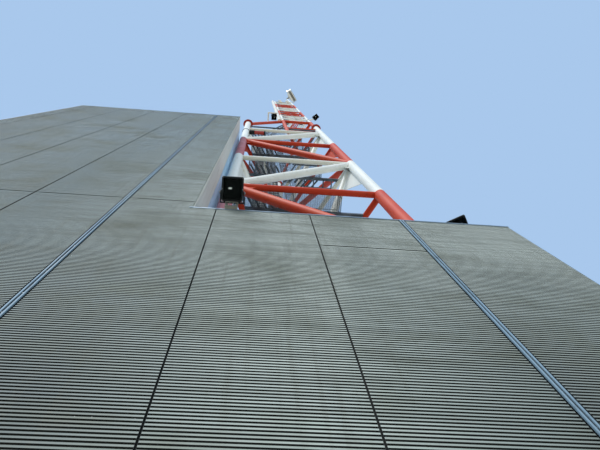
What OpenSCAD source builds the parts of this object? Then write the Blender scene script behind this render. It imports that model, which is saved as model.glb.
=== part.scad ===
// Three-legged tubular radio mast standing in a ribbed-sheet equipment block.
// Drawn at one tenth of full size: 1 mm here is 10 mm on the real mast.
// The origin is the centre of the rear leg's foot, at ground level. The clad front faces -Y.

/* [Lower mast] */
// Distance between two leg centres, the width of each flat side
face_w = 669; // [600:1:700]
// Height of one bay of bracing, which is also one colour band
bay_h = 1036; // [900:1:1200]
// Whole bays from the ground up
bays = 6; // [6:1:7]
// Leg tube above the last whole bay, up to its cap
stub_h = 606; // [300:1:900]
// Outer diameter of a leg tube
leg_d = 54; // [44:1:56]
// Wall of a leg tube
leg_t = 2.4; // [1.5:0.1:5]
// Diameter of the diagonal tubes
brace_d = 41; // [30:1:44]
// Diameter of the level tubes
ring_d = 29; // [22:1:34]
// Height of a diagonal's end above or below the level tube
brace_shift = 20; // [18:1:40]
// Thickness of the gusset plates at the nodes
gusset_t = 3; // [2:0.5:6]
// Width of a gusset plate along the level tube
gusset_w = 120; // [90:1:160]
// Height of a gusset plate along the leg
gusset_h = 150; // [110:1:200]
// Height of the long fin plates on the front legs
fin_h = 650; // [450:1:800]
// Reach of a fin plate along its diagonal's foot
fin_w = 145; // [110:1:150]
// Lowest bay whose front legs have fin plates
fin_from = 3; // [2:1:5]

/* [Feet and caps] */
// Diameter of a foot flange
foot_d = 76; // [72:1:76]
// Thickness of a foot flange
foot_t = 8; // [4:1:15]
// Circle of the anchor bolts
bolt_circle_d = 65; // [63:1:67]
// Diameter of an anchor bolt hole
bolt_d = 4; // [3:0.1:5]
// Anchor bolts in a foot
bolt_count = 12; // [6:1:16]
// Diameter of the cap plate on a leg
cap_d = 94; // [70:1:110]
// Thickness of the cap plate
cap_t = 8; // [4:1:12]

/* [Upper mast] */
// Distance between two leg centres of the upper mast
upper_w = 301; // [280:1:320]
// Diameter of the thin tubes between the caps
tie_d = 14; // [8:1:20]
// Distance of the thin tubes under the tops of the legs
tie_drop = 272; // [240:1:320]
// Distance of the red frame's low ring under the tops of the legs
frame_drop = 220; // [40:1:220]
// Height of the red frame that carries the upper mast
frame_h = 763; // [500:1:900]
// Bays of the upper mast, one colour band each
upper_bays = 5; // [3:1:6]
// Diameter of the upper legs
upper_leg_d = 26; // [20:1:32]
// Diameter of the tubes in the red frame
frame_d = 30; // [24:1:34]
// Width across the upper bracing bars
upper_bar_d = 12; // [8:1:16]
// Thickness of the grating at the upper mast's head
platform_t = 6; // [4:0.5:10]
// Width of the head grating's outer frame
platform_rim = 16; // [8:1:24]
// Height of the pole over the upper mast
pole_h = 2400; // [1800:10:2600]
// Diameter of the pole
pole_d = 18; // [14:1:22]

/* [Antennas] */
// Diameter of the drum antenna
drum_d = 286; // [200:1:320]
// Depth of the drum antenna
drum_depth = 125; // [80:1:160]
// Distance of the drum's back from the pole
drum_back = 34; // [20:1:60]
// Height of the drum's centre above the upper mast
drum_rise = 2192; // [1900:1:2240]
// Direction the drum faces, in degrees from +X
drum_turn = -35; // [-60:1:-10]
// Diameter of the white column antenna
column_d = 46; // [30:1:52]
// Clear distance between the column and its leg
column_gap = 3; // [2:1:12]
// Height of the column over the upper mast
column_rise = 60; // [20:10:400]
// Width of a panel antenna
panel_w = 50; // [30:1:70]
// Height of a panel antenna
panel_h = 200; // [120:1:300]
// Depth of a panel antenna
panel_depth = 22; // [14:1:40]
// Clear distance between a panel and the bar that carries it
panel_gap = 10; // [6:1:20]

/* [Equipment block] */
// Face of the ribbed front, in front of the two front legs
front_gap = 164.5; // [100:0.5:220]
// Inside of the rear wall, behind the rear leg
rear_gap = 60; // [56:1:120]
// Thickness of the walls
wall_t = 20; // [15:1:25]
// Height of the low part's front
low_h = 1772; // [1500:1:1900]
// Height of the tall part's front
tall_h = 5290; // [4500:1:6000]
// Right face of the low part, from the right leg's centre
right_gap = 76.2; // [60:0.1:110]
// Right face of the tall part, from the left leg's centre
notch_gap = 38.5; // [38.5:0.5:60]
// Width of the tall part
tall_w = 1166; // [900:1:1400]
// Height of the parapet over the roof
parapet_h = 60; // [30:1:120]
// Thickness of a roof
roof_t = 15; // [10:1:30]
// Clear space between a leg and the roof around it
leg_clear = 5; // [2:0.5:10]
// Height of the copings
coping_h = 8; // [5:0.5:15]
// Overhang of the copings past the wall
coping_out = 3; // [1:0.5:6]
// Thickness of the coping sheet
coping_t = 1.5; // [1:0.1:2]

/* [Cladding] */
// Width of a cladding panel between two joints
panel_pitch = 227; // [200:1:250]
// First joint, left of the mast's middle
joint_x = 88; // [60:1:120]
// Width of an open joint
joint_w = 2.8; // [1:0.1:4]
// Depth of an open joint
joint_depth = 3; // [1:0.5:6]
// Width of a guide rail
rail_w = 9; // [7:0.5:12]
// Height of a guide rail in front of the sheets
rail_out = 3; // [2:0.5:5]
// Width of the slot in a guide rail
rail_slot = 2.6; // [1.5:0.1:4]
// Width of the beige panel beside the front corner
corner_w = 95; // [60:1:140]
// Thickness of the panels on the tall part's side
skin_t = 3; // [2:0.5:5]

/* [Inner steelwork] */
// Left edge of the first cable ladder, from the left leg's centre
tray_in = 96; // [90:1:110]
// Clear space round the ladders in the roof
shaft_clear = 10; // [4:1:14]
// Distance of the cross beams behind the front side
beam_in = 99; // [70:1:160]
// Width of a cross beam
beam_w = 16; // [10:1:24]
// Height of a cross beam
beam_h = 24; // [16:1:28]
// Width of the walkway gratings
walk_w = 440; // [300:1:460]
// Thickness of the gratings
walk_t = 4; // [3:0.5:6]
// Bars across a grating
walk_bars = 16; // [8:1:24]
// Width of a cable ladder
tray_w = 60; // [40:1:80]
// Spacing of the cable ladder's rungs
tray_step = 60; // [40:1:120]
// Spacing of the climbing ladder's rungs
rung_step = 30; // [25:1:60]
// Width of the climbing ladder
ladder_w = 45; // [35:1:60]

/* [Lamps] */
// Width of a floodlight
lamp_w = 54; // [40:1:70]
// Length of a floodlight
lamp_l = 62; // [45:1:80]
// Depth of a floodlight's housing with its fins
lamp_h = 24; // [18:1:34]
// Height of the glass above the coping
lamp_lift = 33; // [24:1:50]
// Width of the rim around the glass
lamp_rim = 4; // [2:0.5:8]
// Thickness of a floodlight's yoke
yoke_t = 3; // [2:0.5:5]
// Width of the yoke's flat bar
yoke_w = 9; // [6:1:12]
// Height of the yoke over the glass
yoke_z = 3; // [2:0.5:6]
// Clear distance between the yoke's base bar and the housing
yoke_gap = 3; // [2:0.5:6]
// Left parapet lamp, left of the mast's middle
left_lamp_x = 280; // [260:1:340]
// Middle of the left parapet lamp, in front of the wall's middle
left_lamp_out = 53; // [50:1:70]
// Middle of the right parapet lamp, behind the wall's middle
right_lamp_in = 9; // [0:1:20]
// Width of the bracket that carries the left parapet lamp
lamp_arm_w = 32; // [16:1:40]
// Right parapet lamp, right of the mast's middle
right_lamp_x = 294; // [240:1:340]
// Turn of the right parapet lamp about the vertical
right_lamp_turn = -28; // [-45:1:0]
// Diameter of the tubes that carry the mast lamps
outrigger_d = 12; // [8:1:16]
// Place of the left mast lamp's outrigger on the long strut, as a share of the strut's length
left_lamp_along = 0.54; // [0.5:0.01:0.65]
// Height of the left outrigger over its foot on the strut
left_lamp_rise = 209; // [120:1:260]
// Height of the right outrigger over the upper mast's foot
right_lamp_rise = 404; // [200:1:480]
// Diameter of the obstruction light
beacon_d = 33; // [24:1:40]
// Length of the obstruction light's red glass
beacon_l = 82; // [50:1:90]
// Height of the obstruction light under the highest level tube
beacon_drop = 290; // [200:1:340]
// Clear distance between the obstruction light and its leg
beacon_gap = 33; // [20:1:40]

/* [Hidden] */
$fn = 32;
// Clear space left where round or cut faces meet, so that pieces seat without overlapping
seat = 0.2;
// Small overlap between solids that are one piece, and past a cut's faces
lap = 1;
red = "#b8402a";
white = "#d9ddd8";
grey = "#8d9496";
clad = "#9a9b8f";

face_h = face_w * sqrt(3) / 2;
leg_at = [[-face_w / 2, -face_h], [face_w / 2, -face_h], [0, 0]];
top_z = bays * bay_h + stub_h;
cap_z = top_z + cap_t;
upper_at = [leg_at[1] - [upper_w, 0], leg_at[1], leg_at[1] - upper_w * [cos(60), -sin(60)]];
upper_z = cap_z + frame_h;
upper_top = upper_z + upper_bays * bay_h;
pole_flange_d = upper_leg_d + 14;
// Wall of the clamps round legs and poles
clamp_t = 4;
// Clear distance of the red frame's high ring from the ends of its posts
ring_inset = 4;
// Diameter of the red frame's posts
post_d = upper_leg_d + 10;
// The long struts of the red frame, from the left and the rear cap to the upper mast's legs
strut_z = upper_z - 2 * frame_d - ring_inset;
strut_ends = [for (i = [0, 2]) [concat(leg_at[i], cap_z), concat(upper_at[i], strut_z)]];
half_bay = bay_h / 2;

front_y = -face_h - front_gap;
rear_y = rear_gap + wall_t;
notch_x = -face_w / 2 - notch_gap;
low_right = face_w / 2 + right_gap;
tall_left = notch_x - tall_w;
low_roof_z = low_h - parapet_h;
tall_roof_z = tall_h - parapet_h;
beam_y = -face_h + beam_in;
inner_y = front_y + wall_t;
wall_mid_y = front_y + wall_t / 2;
parapet_z = low_h + coping_t;

// Shaft of the cable ladders and the climbing ladder, behind the cross beams
tray_left = -face_w / 2 + tray_in;
tray_gap = 20;
ladder_gap = 30;
shaft_w = 2 * tray_w + tray_gap + ladder_gap + ladder_w;
shaft_y = beam_y + beam_w / 2;
shaft_z = low_roof_z - roof_t;
// Distance from a floodlight's middle to the back of its yoke, and the height of the yoke's middle
yoke_reach = lamp_l / 2 + yoke_gap + yoke_t;
yoke_mid = yoke_z + yoke_w / 2;
// The gratings reach a little further to the left than to the right of the mast's middle
walk_left = -0.62 * walk_w;

// Diagonals that start high at the side's first leg, bay by bay from the ground
front_falls = [true, false, true, false, true, false, true];
right_falls = [false, true, false, true, false, true, false];
// The left side mirrors the right one, and is drawn from the rear leg to the left leg
patterns = [front_falls, right_falls, [for (f = right_falls) !f]];

// Helpers

// Round tube or bar from point a to point b
module bar(a, b, d, sides = 32) {
    run = b - a;
    flat = norm([run[0], run[1]]);
    translate(a)
        rotate([0, atan2(flat, run[2]), atan2(run[1], run[0])])
            cylinder(d = d, h = norm(run), $fn = sides);
}

// Rectangular block between two corners
module block(low, high) {
    translate(low) cube(high - low);
}

// One vertical tube per leg position, with its lower end at z
module posts(places, z, h, d) {
    for (p = places) translate([p[0], p[1], z]) cylinder(d = d, h = h);
}

// Ring of level tubes over the given corners
module ring(places, z, d, sides = 32) {
    for (i = [0:2]) {
        a = places[i];
        b = places[(i + 1) % 3];
        bar([a[0], a[1], z], [b[0], b[1], z], d, sides);
    }
}

// Lower mast

// Tube of one leg over the bays of one colour, 0 for red and 1 for white
module leg_bands(place, tone) {
    for (k = [tone:2:bays - 1]) {
        z0 = k == 0 ? foot_t : k * bay_h;
        // The last bay's tube runs on to the cap
        z1 = k == bays - 1 ? top_z : (k + 1) * bay_h;
        translate([place[0], place[1], z0])
            difference() {
                cylinder(d = leg_d, h = z1 - z0);
                translate([0, 0, -lap]) cylinder(d = leg_d - 2 * leg_t, h = top_z);
            }
    }
}

module leg_feet() {
    color(red)
        for (p = leg_at)
            translate([p[0], p[1], 0])
                difference() {
                    cylinder(d = foot_d, h = foot_t);
                    for (i = [0:bolt_count - 1])
                        rotate(i * 360 / bolt_count)
                            translate([bolt_circle_d / 2, 0, -lap])
                                cylinder(d = bolt_d, h = foot_t + 2 * lap);
                }
}

module leg_caps() {
    color("#7a2418")
        posts(leg_at, top_z, cap_t, cap_d);
}

// Plate in the corner between a leg at x = 0 and a level tube, on the side given by up
module gusset(up) {
    rotate([90, 0, 0])
        linear_extrude(gusset_t, center = true)
            polygon([[0, 0], [gusset_w, 0], [gusset_w * 0.75, up * gusset_h * 0.35],
                     [leg_d / 2 + brace_d / 2, up * gusset_h], [0, up * gusset_h]]);
}

// Diagonal of one bay of a flat side, from the side's first leg at x = 0 to its second
module diagonal(k, falls, d) {
    low = k * bay_h + brace_shift;
    high = (k + 1) * bay_h - brace_shift;
    bar([0, 0, falls ? high : low], [face_w, 0, falls ? low : high], d);
}

// One bay of a flat side: its level tube, its diagonal and their gusset plates
module side_bay(k, falls) {
    z0 = k * bay_h;
    z1 = z0 + bay_h;
    bar([0, 0, z1], [face_w, 0, z1], ring_d);
    diagonal(k, falls, brace_d);
    translate([falls ? 0 : face_w, 0, z1]) mirror([falls ? 0 : 1, 0, 0]) gusset(-1);
    translate([falls ? face_w : 0, 0, z0 + (k == 0 ? foot_t : ring_d / 2) + seat])
        mirror([falls ? 1 : 0, 0, 0]) gusset(1);
}

// Fin plate of bay k under the level tube, on the front leg at x = 0. Where the diagonal starts at
// that leg the plate fills the corner between them, and elsewhere it hangs from the level tube.
module fin(k) {
    diagonal_z = -brace_shift - fin_w * (bay_h - 2 * brace_shift) / face_w;
    rotate([90, 0, 0])
        linear_extrude(gusset_t, center = true)
            polygon([[0, 0], [0, -fin_h], right_falls[k] ? [fin_w, diagonal_z] : [0.7 * fin_w, 0]]);
}

// Space that a side leaves free: both legs, and what lies past the planes halfway to the next sides
module side_limits() {
    reach = 3 * leg_d;
    for (end = [0, 1])
        translate([end * face_w, 0, -lap])
            mirror([end, 0, 0]) {
                cylinder(d = leg_d + 2 * seat, h = top_z);
                linear_extrude(top_z)
                    polygon([[0, seat], [reach * cos(30), reach * sin(30) + seat], [0, reach]]);
            }
}

// All bays of one colour on flat side i, 0 for red and 1 for white
module side_bracing(i, tone) {
    difference() {
        for (k = [tone:2:bays - 1]) {
            side_bay(k, patterns[i][k]);
            // The right side starts at its front leg, and the left side ends at its own
            if (i > 0 && k >= fin_from)
                translate([i == 1 ? 0 : face_w, 0, (k + 1) * bay_h]) mirror([i - 1, 0, 0]) fin(k);
        }
        side_limits();
    }
}

// Puts a flat side in its place: 0 is the front, 1 the right and 2 the left side
module on_side(i) {
    translate([leg_at[i][0], leg_at[i][1], 0]) rotate(120 * i) children();
}

module side(i, tone) {
    on_side(i) side_bracing(i, tone);
}

// Thin level tubes a little way under the caps
module top_ring() {
    color(grey)
        difference() {
            ring(leg_at, top_z - tie_drop, tie_d);
            posts(leg_at, 0, top_z, leg_d + 2 * seat);
        }
}

// Upper mast

// Red frame of the upper mast: two rings, three posts and the two long struts. One post stands on the
// right cap and two on the highest level tubes.
module upper_frame() {
    high_ring = upper_z - frame_d / 2 - ring_inset;
    color(red)
        difference() {
            union() {
                ring(upper_at, top_z - frame_drop, frame_d);
                ring(upper_at, high_ring, frame_d);
                posts([upper_at[1]], cap_z, upper_z - cap_z, post_d);
                posts([upper_at[0], upper_at[2]], bays * bay_h, upper_z - bays * bay_h, post_d);
                for (ends = strut_ends) bar(ends[0], ends[1], frame_d);
            }
            ring(leg_at, bays * bay_h, ring_d + 2 * seat);
            ring(leg_at, top_z - tie_drop, tie_d + 2 * seat);
            posts(leg_at, top_z - bay_h, bay_h, leg_d + 2 * seat);
            posts(leg_at, top_z, cap_t, cap_d + 2 * seat);
        }
}

// Legs of the upper mast over the bays of one colour, 1 for red and 0 for white
module upper_legs(tone) {
    for (k = [tone:2:upper_bays - 1])
        posts(upper_at, upper_z + k * bay_h, bay_h, upper_leg_d);
}

// Crossed bars and level bars of half a bay on each side of the upper mast
module upper_half_bay(z) {
    end = upper_leg_d / 2;
    for (i = [0:2]) {
        a = upper_at[i];
        b = upper_at[(i + 1) % 3];
        low = z + end;
        high = z + half_bay - end;
        bar([a[0], a[1], low], [b[0], b[1], high], upper_bar_d, 6);
        bar([b[0], b[1], low], [a[0], a[1], high], upper_bar_d, 6);
    }
    ring(upper_at, z + half_bay - end, upper_bar_d, 6);
}

module upper_bracing(tone) {
    difference() {
        for (k = [tone:2:upper_bays - 1], half = [0, 1])
            upper_half_bay(upper_z + k * bay_h + half * half_bay);
        posts(upper_at, upper_z - lap, upper_bays * bay_h + 2 * lap, upper_leg_d + 2 * seat);
    }
}

// Corners of the upper mast's plan, moved outwards by e
function grown(e) =
    let (middle = (upper_at[0] + upper_at[1] + upper_at[2]) / 3, inner = upper_w / (2 * sqrt(3)))
    [for (p = upper_at) middle + (1 + e / inner) * (p - middle)];

// Framed grating on the heads of the upper legs; the pole's flange passes through its corner
module head_platform() {
    bar_w = 3;
    gap = 12;
    color("#5d6264")
        translate([0, 0, upper_top])
            difference() {
                linear_extrude(platform_t) {
                    difference() {
                        polygon(grown(platform_rim / 2));
                        polygon(grown(-platform_rim / 2));
                    }
                    intersection() {
                        polygon(grown(0));
                        for (y = [gap:gap:face_h / 2])
                            translate([upper_at[0][0], upper_at[0][1] + y]) square([upper_w, bar_w]);
                    }
                }
                translate([upper_at[1][0], upper_at[1][1], -lap])
                    cylinder(d = pole_flange_d + 2 * seat, h = platform_t + 2 * lap);
            }
}

module top_pole() {
    color(white)
        translate([upper_at[1][0], upper_at[1][1], upper_top]) {
            cylinder(d = pole_flange_d, h = cap_t);
            cylinder(d = pole_d, h = pole_h);
        }
}

// Ring clamped round a tube at z = 0, with an arm along +X to the given reach
module clamp(reach, d, w, h) {
    difference() {
        union() {
            cylinder(d = d + 2 * clamp_t, h = h, center = true);
            block([0, -w / 2, -h / 2], [reach, w / 2, h / 2]);
        }
        cylinder(d = d + 2 * seat, h = 2 * h, center = true);
    }
}

// Drum antenna on two clamps, in front of the pole
module drum_antenna() {
    back = pole_d / 2 + drum_back;
    rim = 6;
    shell_r = drum_d / 2;
    // Flat middle of the dish's back, and where that back meets the drum's shell
    hub_r = shell_r * 0.32;
    shell_x = back + drum_depth * 0.3;
    clamp_z = 40;
    clamp_w = 28;
    clamp_h = 12;
    color("#c9c7bd")
        translate([upper_at[1][0], upper_at[1][1], upper_top + drum_rise])
            rotate(drum_turn) {
                rotate([0, 90, 0])
                    rotate_extrude()
                        polygon([[0, back], [hub_r, back], [shell_r, shell_x],
                                 [shell_r + rim / 2, shell_x], [shell_r + rim / 2, shell_x + rim],
                                 [shell_r, shell_x + rim], [shell_r, back + drum_depth],
                                 [0, back + drum_depth]]);
                for (z = [-clamp_z, clamp_z])
                    translate([0, 0, z]) clamp(back + lap, pole_d, clamp_w, clamp_h);
            }
}

// White column antenna on its clamps, to the left of the upper mast's left leg
module column_antenna() {
    off = upper_leg_d / 2 + column_gap + column_d / 2;
    clamp_h = 12;
    color(white)
        translate([upper_at[0][0], upper_at[0][1], upper_z])
            rotate(180) {
                translate([off, 0, 0]) cylinder(d = column_d, h = upper_bays * bay_h + column_rise);
                // Clear of the crossed bars, which meet the leg at the ends of each half bay
                for (k = [0:upper_bays - 1])
                    translate([0, 0, (k + 0.25) * bay_h]) clamp(off, upper_leg_d, clamp_h, clamp_h);
            }
}

// Panel antennas hung in front of the level bars in the front of the upper mast's highest bay
module panel_antennas() {
    back = upper_bar_d / 2 + panel_gap;
    hook = 8;
    color("#cfcdc2")
        for (half = [0, 1], share = [0.29, 0.73])
            translate([upper_at[0][0] + share * upper_w, -face_h,
                       upper_top - upper_leg_d / 2 - half * half_bay]) {
                block([-panel_w / 2, -back - panel_depth, -panel_h / 2], [panel_w / 2, -back, panel_h / 2]);
                difference() {
                    block([-hook / 2, -back - lap, -hook], [hook / 2, upper_bar_d, hook]);
                    bar([-hook, 0, 0], [hook, 0, 0], upper_bar_d + 2 * seat, 6);
                }
            }
}

// Equipment block

// Vertical joints cut into a front wall between two places along it
module joints(from, to, h) {
    first = ceil((from + joint_w + joint_x) / panel_pitch);
    last = floor((to - joint_w + joint_x) / panel_pitch);
    for (i = [first:last]) {
        x = -joint_x + i * panel_pitch;
        block([x - joint_w / 2, front_y - lap, -lap], [x + joint_w / 2, front_y + joint_depth, h + lap]);
    }
}

module low_front_wall() {
    color(clad)
        difference() {
            block([notch_x, front_y, 0], [low_right, inner_y, low_h]);
            joints(notch_x, low_right, low_h);
        }
}

module low_right_wall() {
    color(clad) block([low_right - wall_t, inner_y, 0], [low_right, rear_gap, low_h]);
}

module low_rear_wall() {
    color(clad) block([notch_x, rear_gap, 0], [low_right, rear_y, low_h]);
}

// Roof with a round hole for each leg and a slot for the cable ladders
module low_roof() {
    color(grey)
        difference() {
            block([notch_x + skin_t, inner_y, low_roof_z - roof_t],
                  [low_right - wall_t, rear_gap, low_roof_z]);
            posts(leg_at, low_roof_z - roof_t - lap, roof_t + 2 * lap, leg_d + 2 * leg_clear);
            // The bay that passes through the roof
            for (i = [0:2], k = floor(low_roof_z / bay_h))
                on_side(i) diagonal(k, patterns[i][k], brace_d + 2 * leg_clear);
            block([tray_left - shaft_clear, shaft_y - 4 * shaft_clear, low_roof_z - roof_t - lap],
                  [tray_left + shaft_w + shaft_clear, shaft_y + 4 * shaft_clear, low_roof_z + lap]);
        }
}

module tall_front_wall() {
    color(clad)
        difference() {
            block([tall_left, front_y, 0], [notch_x, inner_y, tall_h]);
            joints(tall_left, notch_x, tall_h);
        }
}

module tall_left_wall() {
    color(clad) block([tall_left, inner_y, 0], [tall_left + wall_t, rear_gap, tall_h]);
}

module tall_right_wall() {
    color(clad) block([notch_x - wall_t, inner_y, 0], [notch_x, rear_gap, tall_h]);
}

module tall_rear_wall() {
    color(clad) block([tall_left, rear_gap, 0], [notch_x, rear_y, tall_h]);
}

module tall_roof() {
    color(grey)
        block([tall_left + wall_t, inner_y, tall_roof_z - roof_t],
              [notch_x - wall_t, rear_gap, tall_roof_z]);
}

// Sheet-metal cap along a wall top, from one corner of the wall to the other
module coping(low, high, z) {
    difference() {
        block([low[0] - coping_out, low[1] - coping_out, z + coping_t - coping_h],
              [high[0] + coping_out, high[1] + coping_out, z + coping_t]);
        block([low[0], low[1], z - 2 * coping_h], [high[0], high[1], z]);
    }
}

module copings() {
    color("#8fa0ad") {
        // Three sides of the low part, which ends against the tall part
        difference() {
            coping([notch_x, front_y], [low_right, rear_y], low_h);
            block([notch_x - 2 * coping_h, front_y - 2 * coping_h, low_h - 2 * coping_h],
                  [notch_x + skin_t, rear_y + 2 * coping_h, low_h + 2 * coping_h]);
            block([notch_x - lap, front_y + wall_t + coping_out, low_h - 2 * coping_h],
                  [low_right - wall_t - coping_out, rear_gap - coping_out, low_h + 2 * coping_h]);
        }
        difference() {
            coping([tall_left, front_y], [notch_x, rear_y], tall_h);
            block([tall_left + wall_t + coping_out, inner_y + coping_out, tall_h - 2 * coping_h],
                  [notch_x - wall_t - coping_out, rear_gap - coping_out, tall_h + 2 * coping_h]);
        }
    }
}

// Beige panel on the tall part's side, next to the front corner
module corner_panel() {
    color("#b5ad97")
        block([notch_x, inner_y, low_h + coping_h],
              [notch_x + skin_t, front_y + corner_w, tall_h - coping_h]);
}

// Grey panels on the rest of the tall part's side
module side_cladding() {
    color("#93a0a8")
        block([notch_x, front_y + corner_w + joint_w, low_roof_z],
              [notch_x + skin_t, rear_gap, tall_h - coping_h]);
}

// Slotted guide rail up the front, centred at x
module guide_rail(x, h) {
    lip = (rail_w - rail_slot) / 2;
    back_t = rail_out / 3;
    translate([x - rail_w / 2, front_y, 0])
        linear_extrude(h)
            polygon([[0, 0], [rail_w, 0], [rail_w, -rail_out], [rail_w - lip, -rail_out],
                     [rail_w - lip, -back_t], [lip, -back_t], [lip, -rail_out], [0, -rail_out]]);
}

module guide_rails() {
    color("#aeb9c2") {
        guide_rail(-joint_x + panel_pitch, low_h - coping_h);
        guide_rail(-joint_x - 2 * panel_pitch, tall_h - coping_h);
    }
}

// Inner steelwork

// Cross beams at the levels over the roof, between the right and the left side
module cross_beams() {
    color(grey)
        difference() {
            intersection() {
                for (k = [2:bays])
                    block([-face_w / 2, beam_y - beam_w / 2, k * bay_h + ring_d / 2 - beam_h],
                          [face_w / 2, beam_y + beam_w / 2, k * bay_h + ring_d / 2]);
                linear_extrude(top_z) polygon(leg_at);
            }
            for (k = [2:bays]) ring(leg_at, k * bay_h, ring_d + 2 * seat);
        }
}

// Gratings on the front level tubes and the cross beams
module walkways() {
    y0 = -face_h;
    y1 = beam_y + beam_w / 2;
    // Width of the edge bars; the bars across are half as wide
    edge = 6;
    step = (walk_w - edge) / walk_bars;
    color("#6f7678")
        difference() {
            for (k = [2:bays])
                translate([walk_left, 0, k * bay_h + ring_d / 2]) {
                    for (y = [y0, y1 - edge]) block([0, y, 0], [walk_w, y + edge, walk_t]);
                    for (i = [0:walk_bars])
                        block([i * step, y0, 0], [i * step + edge / 2, y1, walk_t]);
                }
            // A post of the red frame passes through the highest grating
            posts([upper_at[0]], bays * bay_h, bay_h, post_d + 2 * leg_clear);
        }
}

// Two rails with the given side, twice as deep as wide, and their rungs, at x along the cross beams
module rungs(x, w, step, side) {
    h = top_z - shaft_z - ring_d;
    for (u = [0, w - side]) block([x + u, shaft_y, shaft_z], [x + u + side, shaft_y + 2 * side, shaft_z + h]);
    for (z = [step:step:h - side])
        block([x, shaft_y + side / 2, shaft_z + z], [x + w, shaft_y + side, shaft_z + z + side / 2]);
}

module cable_ladders() {
    color(grey)
        for (i = [0, 1]) rungs(tray_left + i * (tray_w + tray_gap), tray_w, tray_step, 5);
}

module climbing_ladder() {
    color(grey) rungs(tray_left + shaft_w - ladder_w, ladder_w, rung_step, 4);
}

// Lamps

// Floodlight in its yoke. The glass faces down at z = 0 and the cooling fins up. The yoke's base bar
// lies along X behind y = 0, and the housing reaches from there towards -Y.
module floodlight() {
    fin_z = lamp_h * 0.6;
    fin_t = 2;
    glass_in = 1.5;
    // The pivots stand beside the rear third of the housing
    pivot_y = -yoke_reach + lamp_l / 6;
    translate([0, -yoke_reach, 0])
        difference() {
            union() {
                linear_extrude(fin_z) square([lamp_w, lamp_l], center = true);
                for (i = [-2:2])
                    translate([i * lamp_w / 6, 0, fin_z - lap])
                        linear_extrude(lamp_h - fin_z + lap) square([fin_t, lamp_l * 0.8], center = true);
            }
            translate([0, 0, -lap])
                linear_extrude(lap + glass_in)
                    square([lamp_w - 2 * lamp_rim, lamp_l - 2 * lamp_rim], center = true);
        }
    for (s = [-1, 1])
        block([s * (lamp_w + yoke_t) / 2 - yoke_t / 2, pivot_y, yoke_z],
              [s * (lamp_w + yoke_t) / 2 + yoke_t / 2, 0, yoke_z + yoke_w]);
    block([-lamp_w / 2 - yoke_t, -yoke_t, yoke_z], [lamp_w / 2 + yoke_t, 0, yoke_z + yoke_w]);
}

// Floodlight on a bracket that stands on the coping at x, with the lamp's middle at the given distance
// in front of the wall's middle
module parapet_lamp(x, out, turn, bracket_w) {
    plate_t = 3;
    back_y = yoke_reach - out;
    half = bracket_w / 2;
    translate([x, wall_mid_y, parapet_z])
        rotate(turn) {
            block([-half, min(back_y, -wall_t / 2), 0], [half, max(back_y, wall_t / 2), plate_t]);
            block([-half, back_y - plate_t, 0], [half, back_y, lamp_lift + yoke_z + yoke_w]);
            translate([0, back_y - plate_t + lap, lamp_lift]) floodlight();
        }
}

module parapet_lamps() {
    color("#17191b") {
        parapet_lamp(-left_lamp_x, left_lamp_out, 0, lamp_arm_w);
        parapet_lamp(right_lamp_x, -right_lamp_in, right_lamp_turn, lamp_arm_w / 2);
    }
}

// Outrigger that rises from the red frame's left strut, runs forwards and then along the lamp's front
module left_mast_lamp() {
    forwards = 92;
    sideways = 62;
    foot = strut_ends[0][0] + left_lamp_along * (strut_ends[0][1] - strut_ends[0][0]);
    bend = [foot[0], foot[1], foot[2] + left_lamp_rise];
    corner = bend - [0, forwards, 0];
    difference() {
        bar(foot, bend, outrigger_d, 16);
        bar(strut_ends[0][0], strut_ends[0][1], frame_d + 2 * seat);
    }
    bar(bend + [0, outrigger_d / 2, 0], corner, outrigger_d, 16);
    bar(corner - [outrigger_d / 2, 0, 0], corner + [sideways + lamp_w / 2, 0, 0], outrigger_d, 16);
    translate(corner + [sideways, outrigger_d / 2 - lap, -yoke_mid]) rotate(180) floodlight();
}

// Outrigger from the upper mast's right leg to the back of a lamp that is turned by 45 degrees
module right_mast_lamp() {
    reach = 65;
    turn = -21.5;
    difference() {
        translate(concat(upper_at[1], upper_z + right_lamp_rise))
            rotate(turn) {
                bar([0, 0, 0], [reach, 0, 0], outrigger_d, 16);
                translate([reach - 2 * lap, 0, -yoke_mid]) rotate(45 - turn) floodlight();
            }
        posts(upper_at, upper_z, half_bay, upper_leg_d + 2 * seat);
    }
}

module mast_lamps() {
    color("#17191b") {
        left_mast_lamp();
        right_mast_lamp();
    }
}

// Red glass drum between two end caps, on a bracket clamped to the left leg
module obstruction_light() {
    cap_l = 12;
    cap_rim = 3;
    arm_w = 12;
    cap_x = leg_d / 2 + beacon_gap;
    color("#a01f16")
        translate([leg_at[0][0], leg_at[0][1], bays * bay_h - beacon_drop]) {
            clamp(cap_x + lap, leg_d, arm_w, arm_w);
            rotate([0, 90, 0]) {
                translate([0, 0, cap_x + cap_l]) cylinder(d = beacon_d, h = beacon_l);
                for (x = [cap_x, cap_x + cap_l + beacon_l])
                    translate([0, 0, x]) cylinder(d = beacon_d + 2 * cap_rim, h = cap_l);
            }
        }
}

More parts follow.
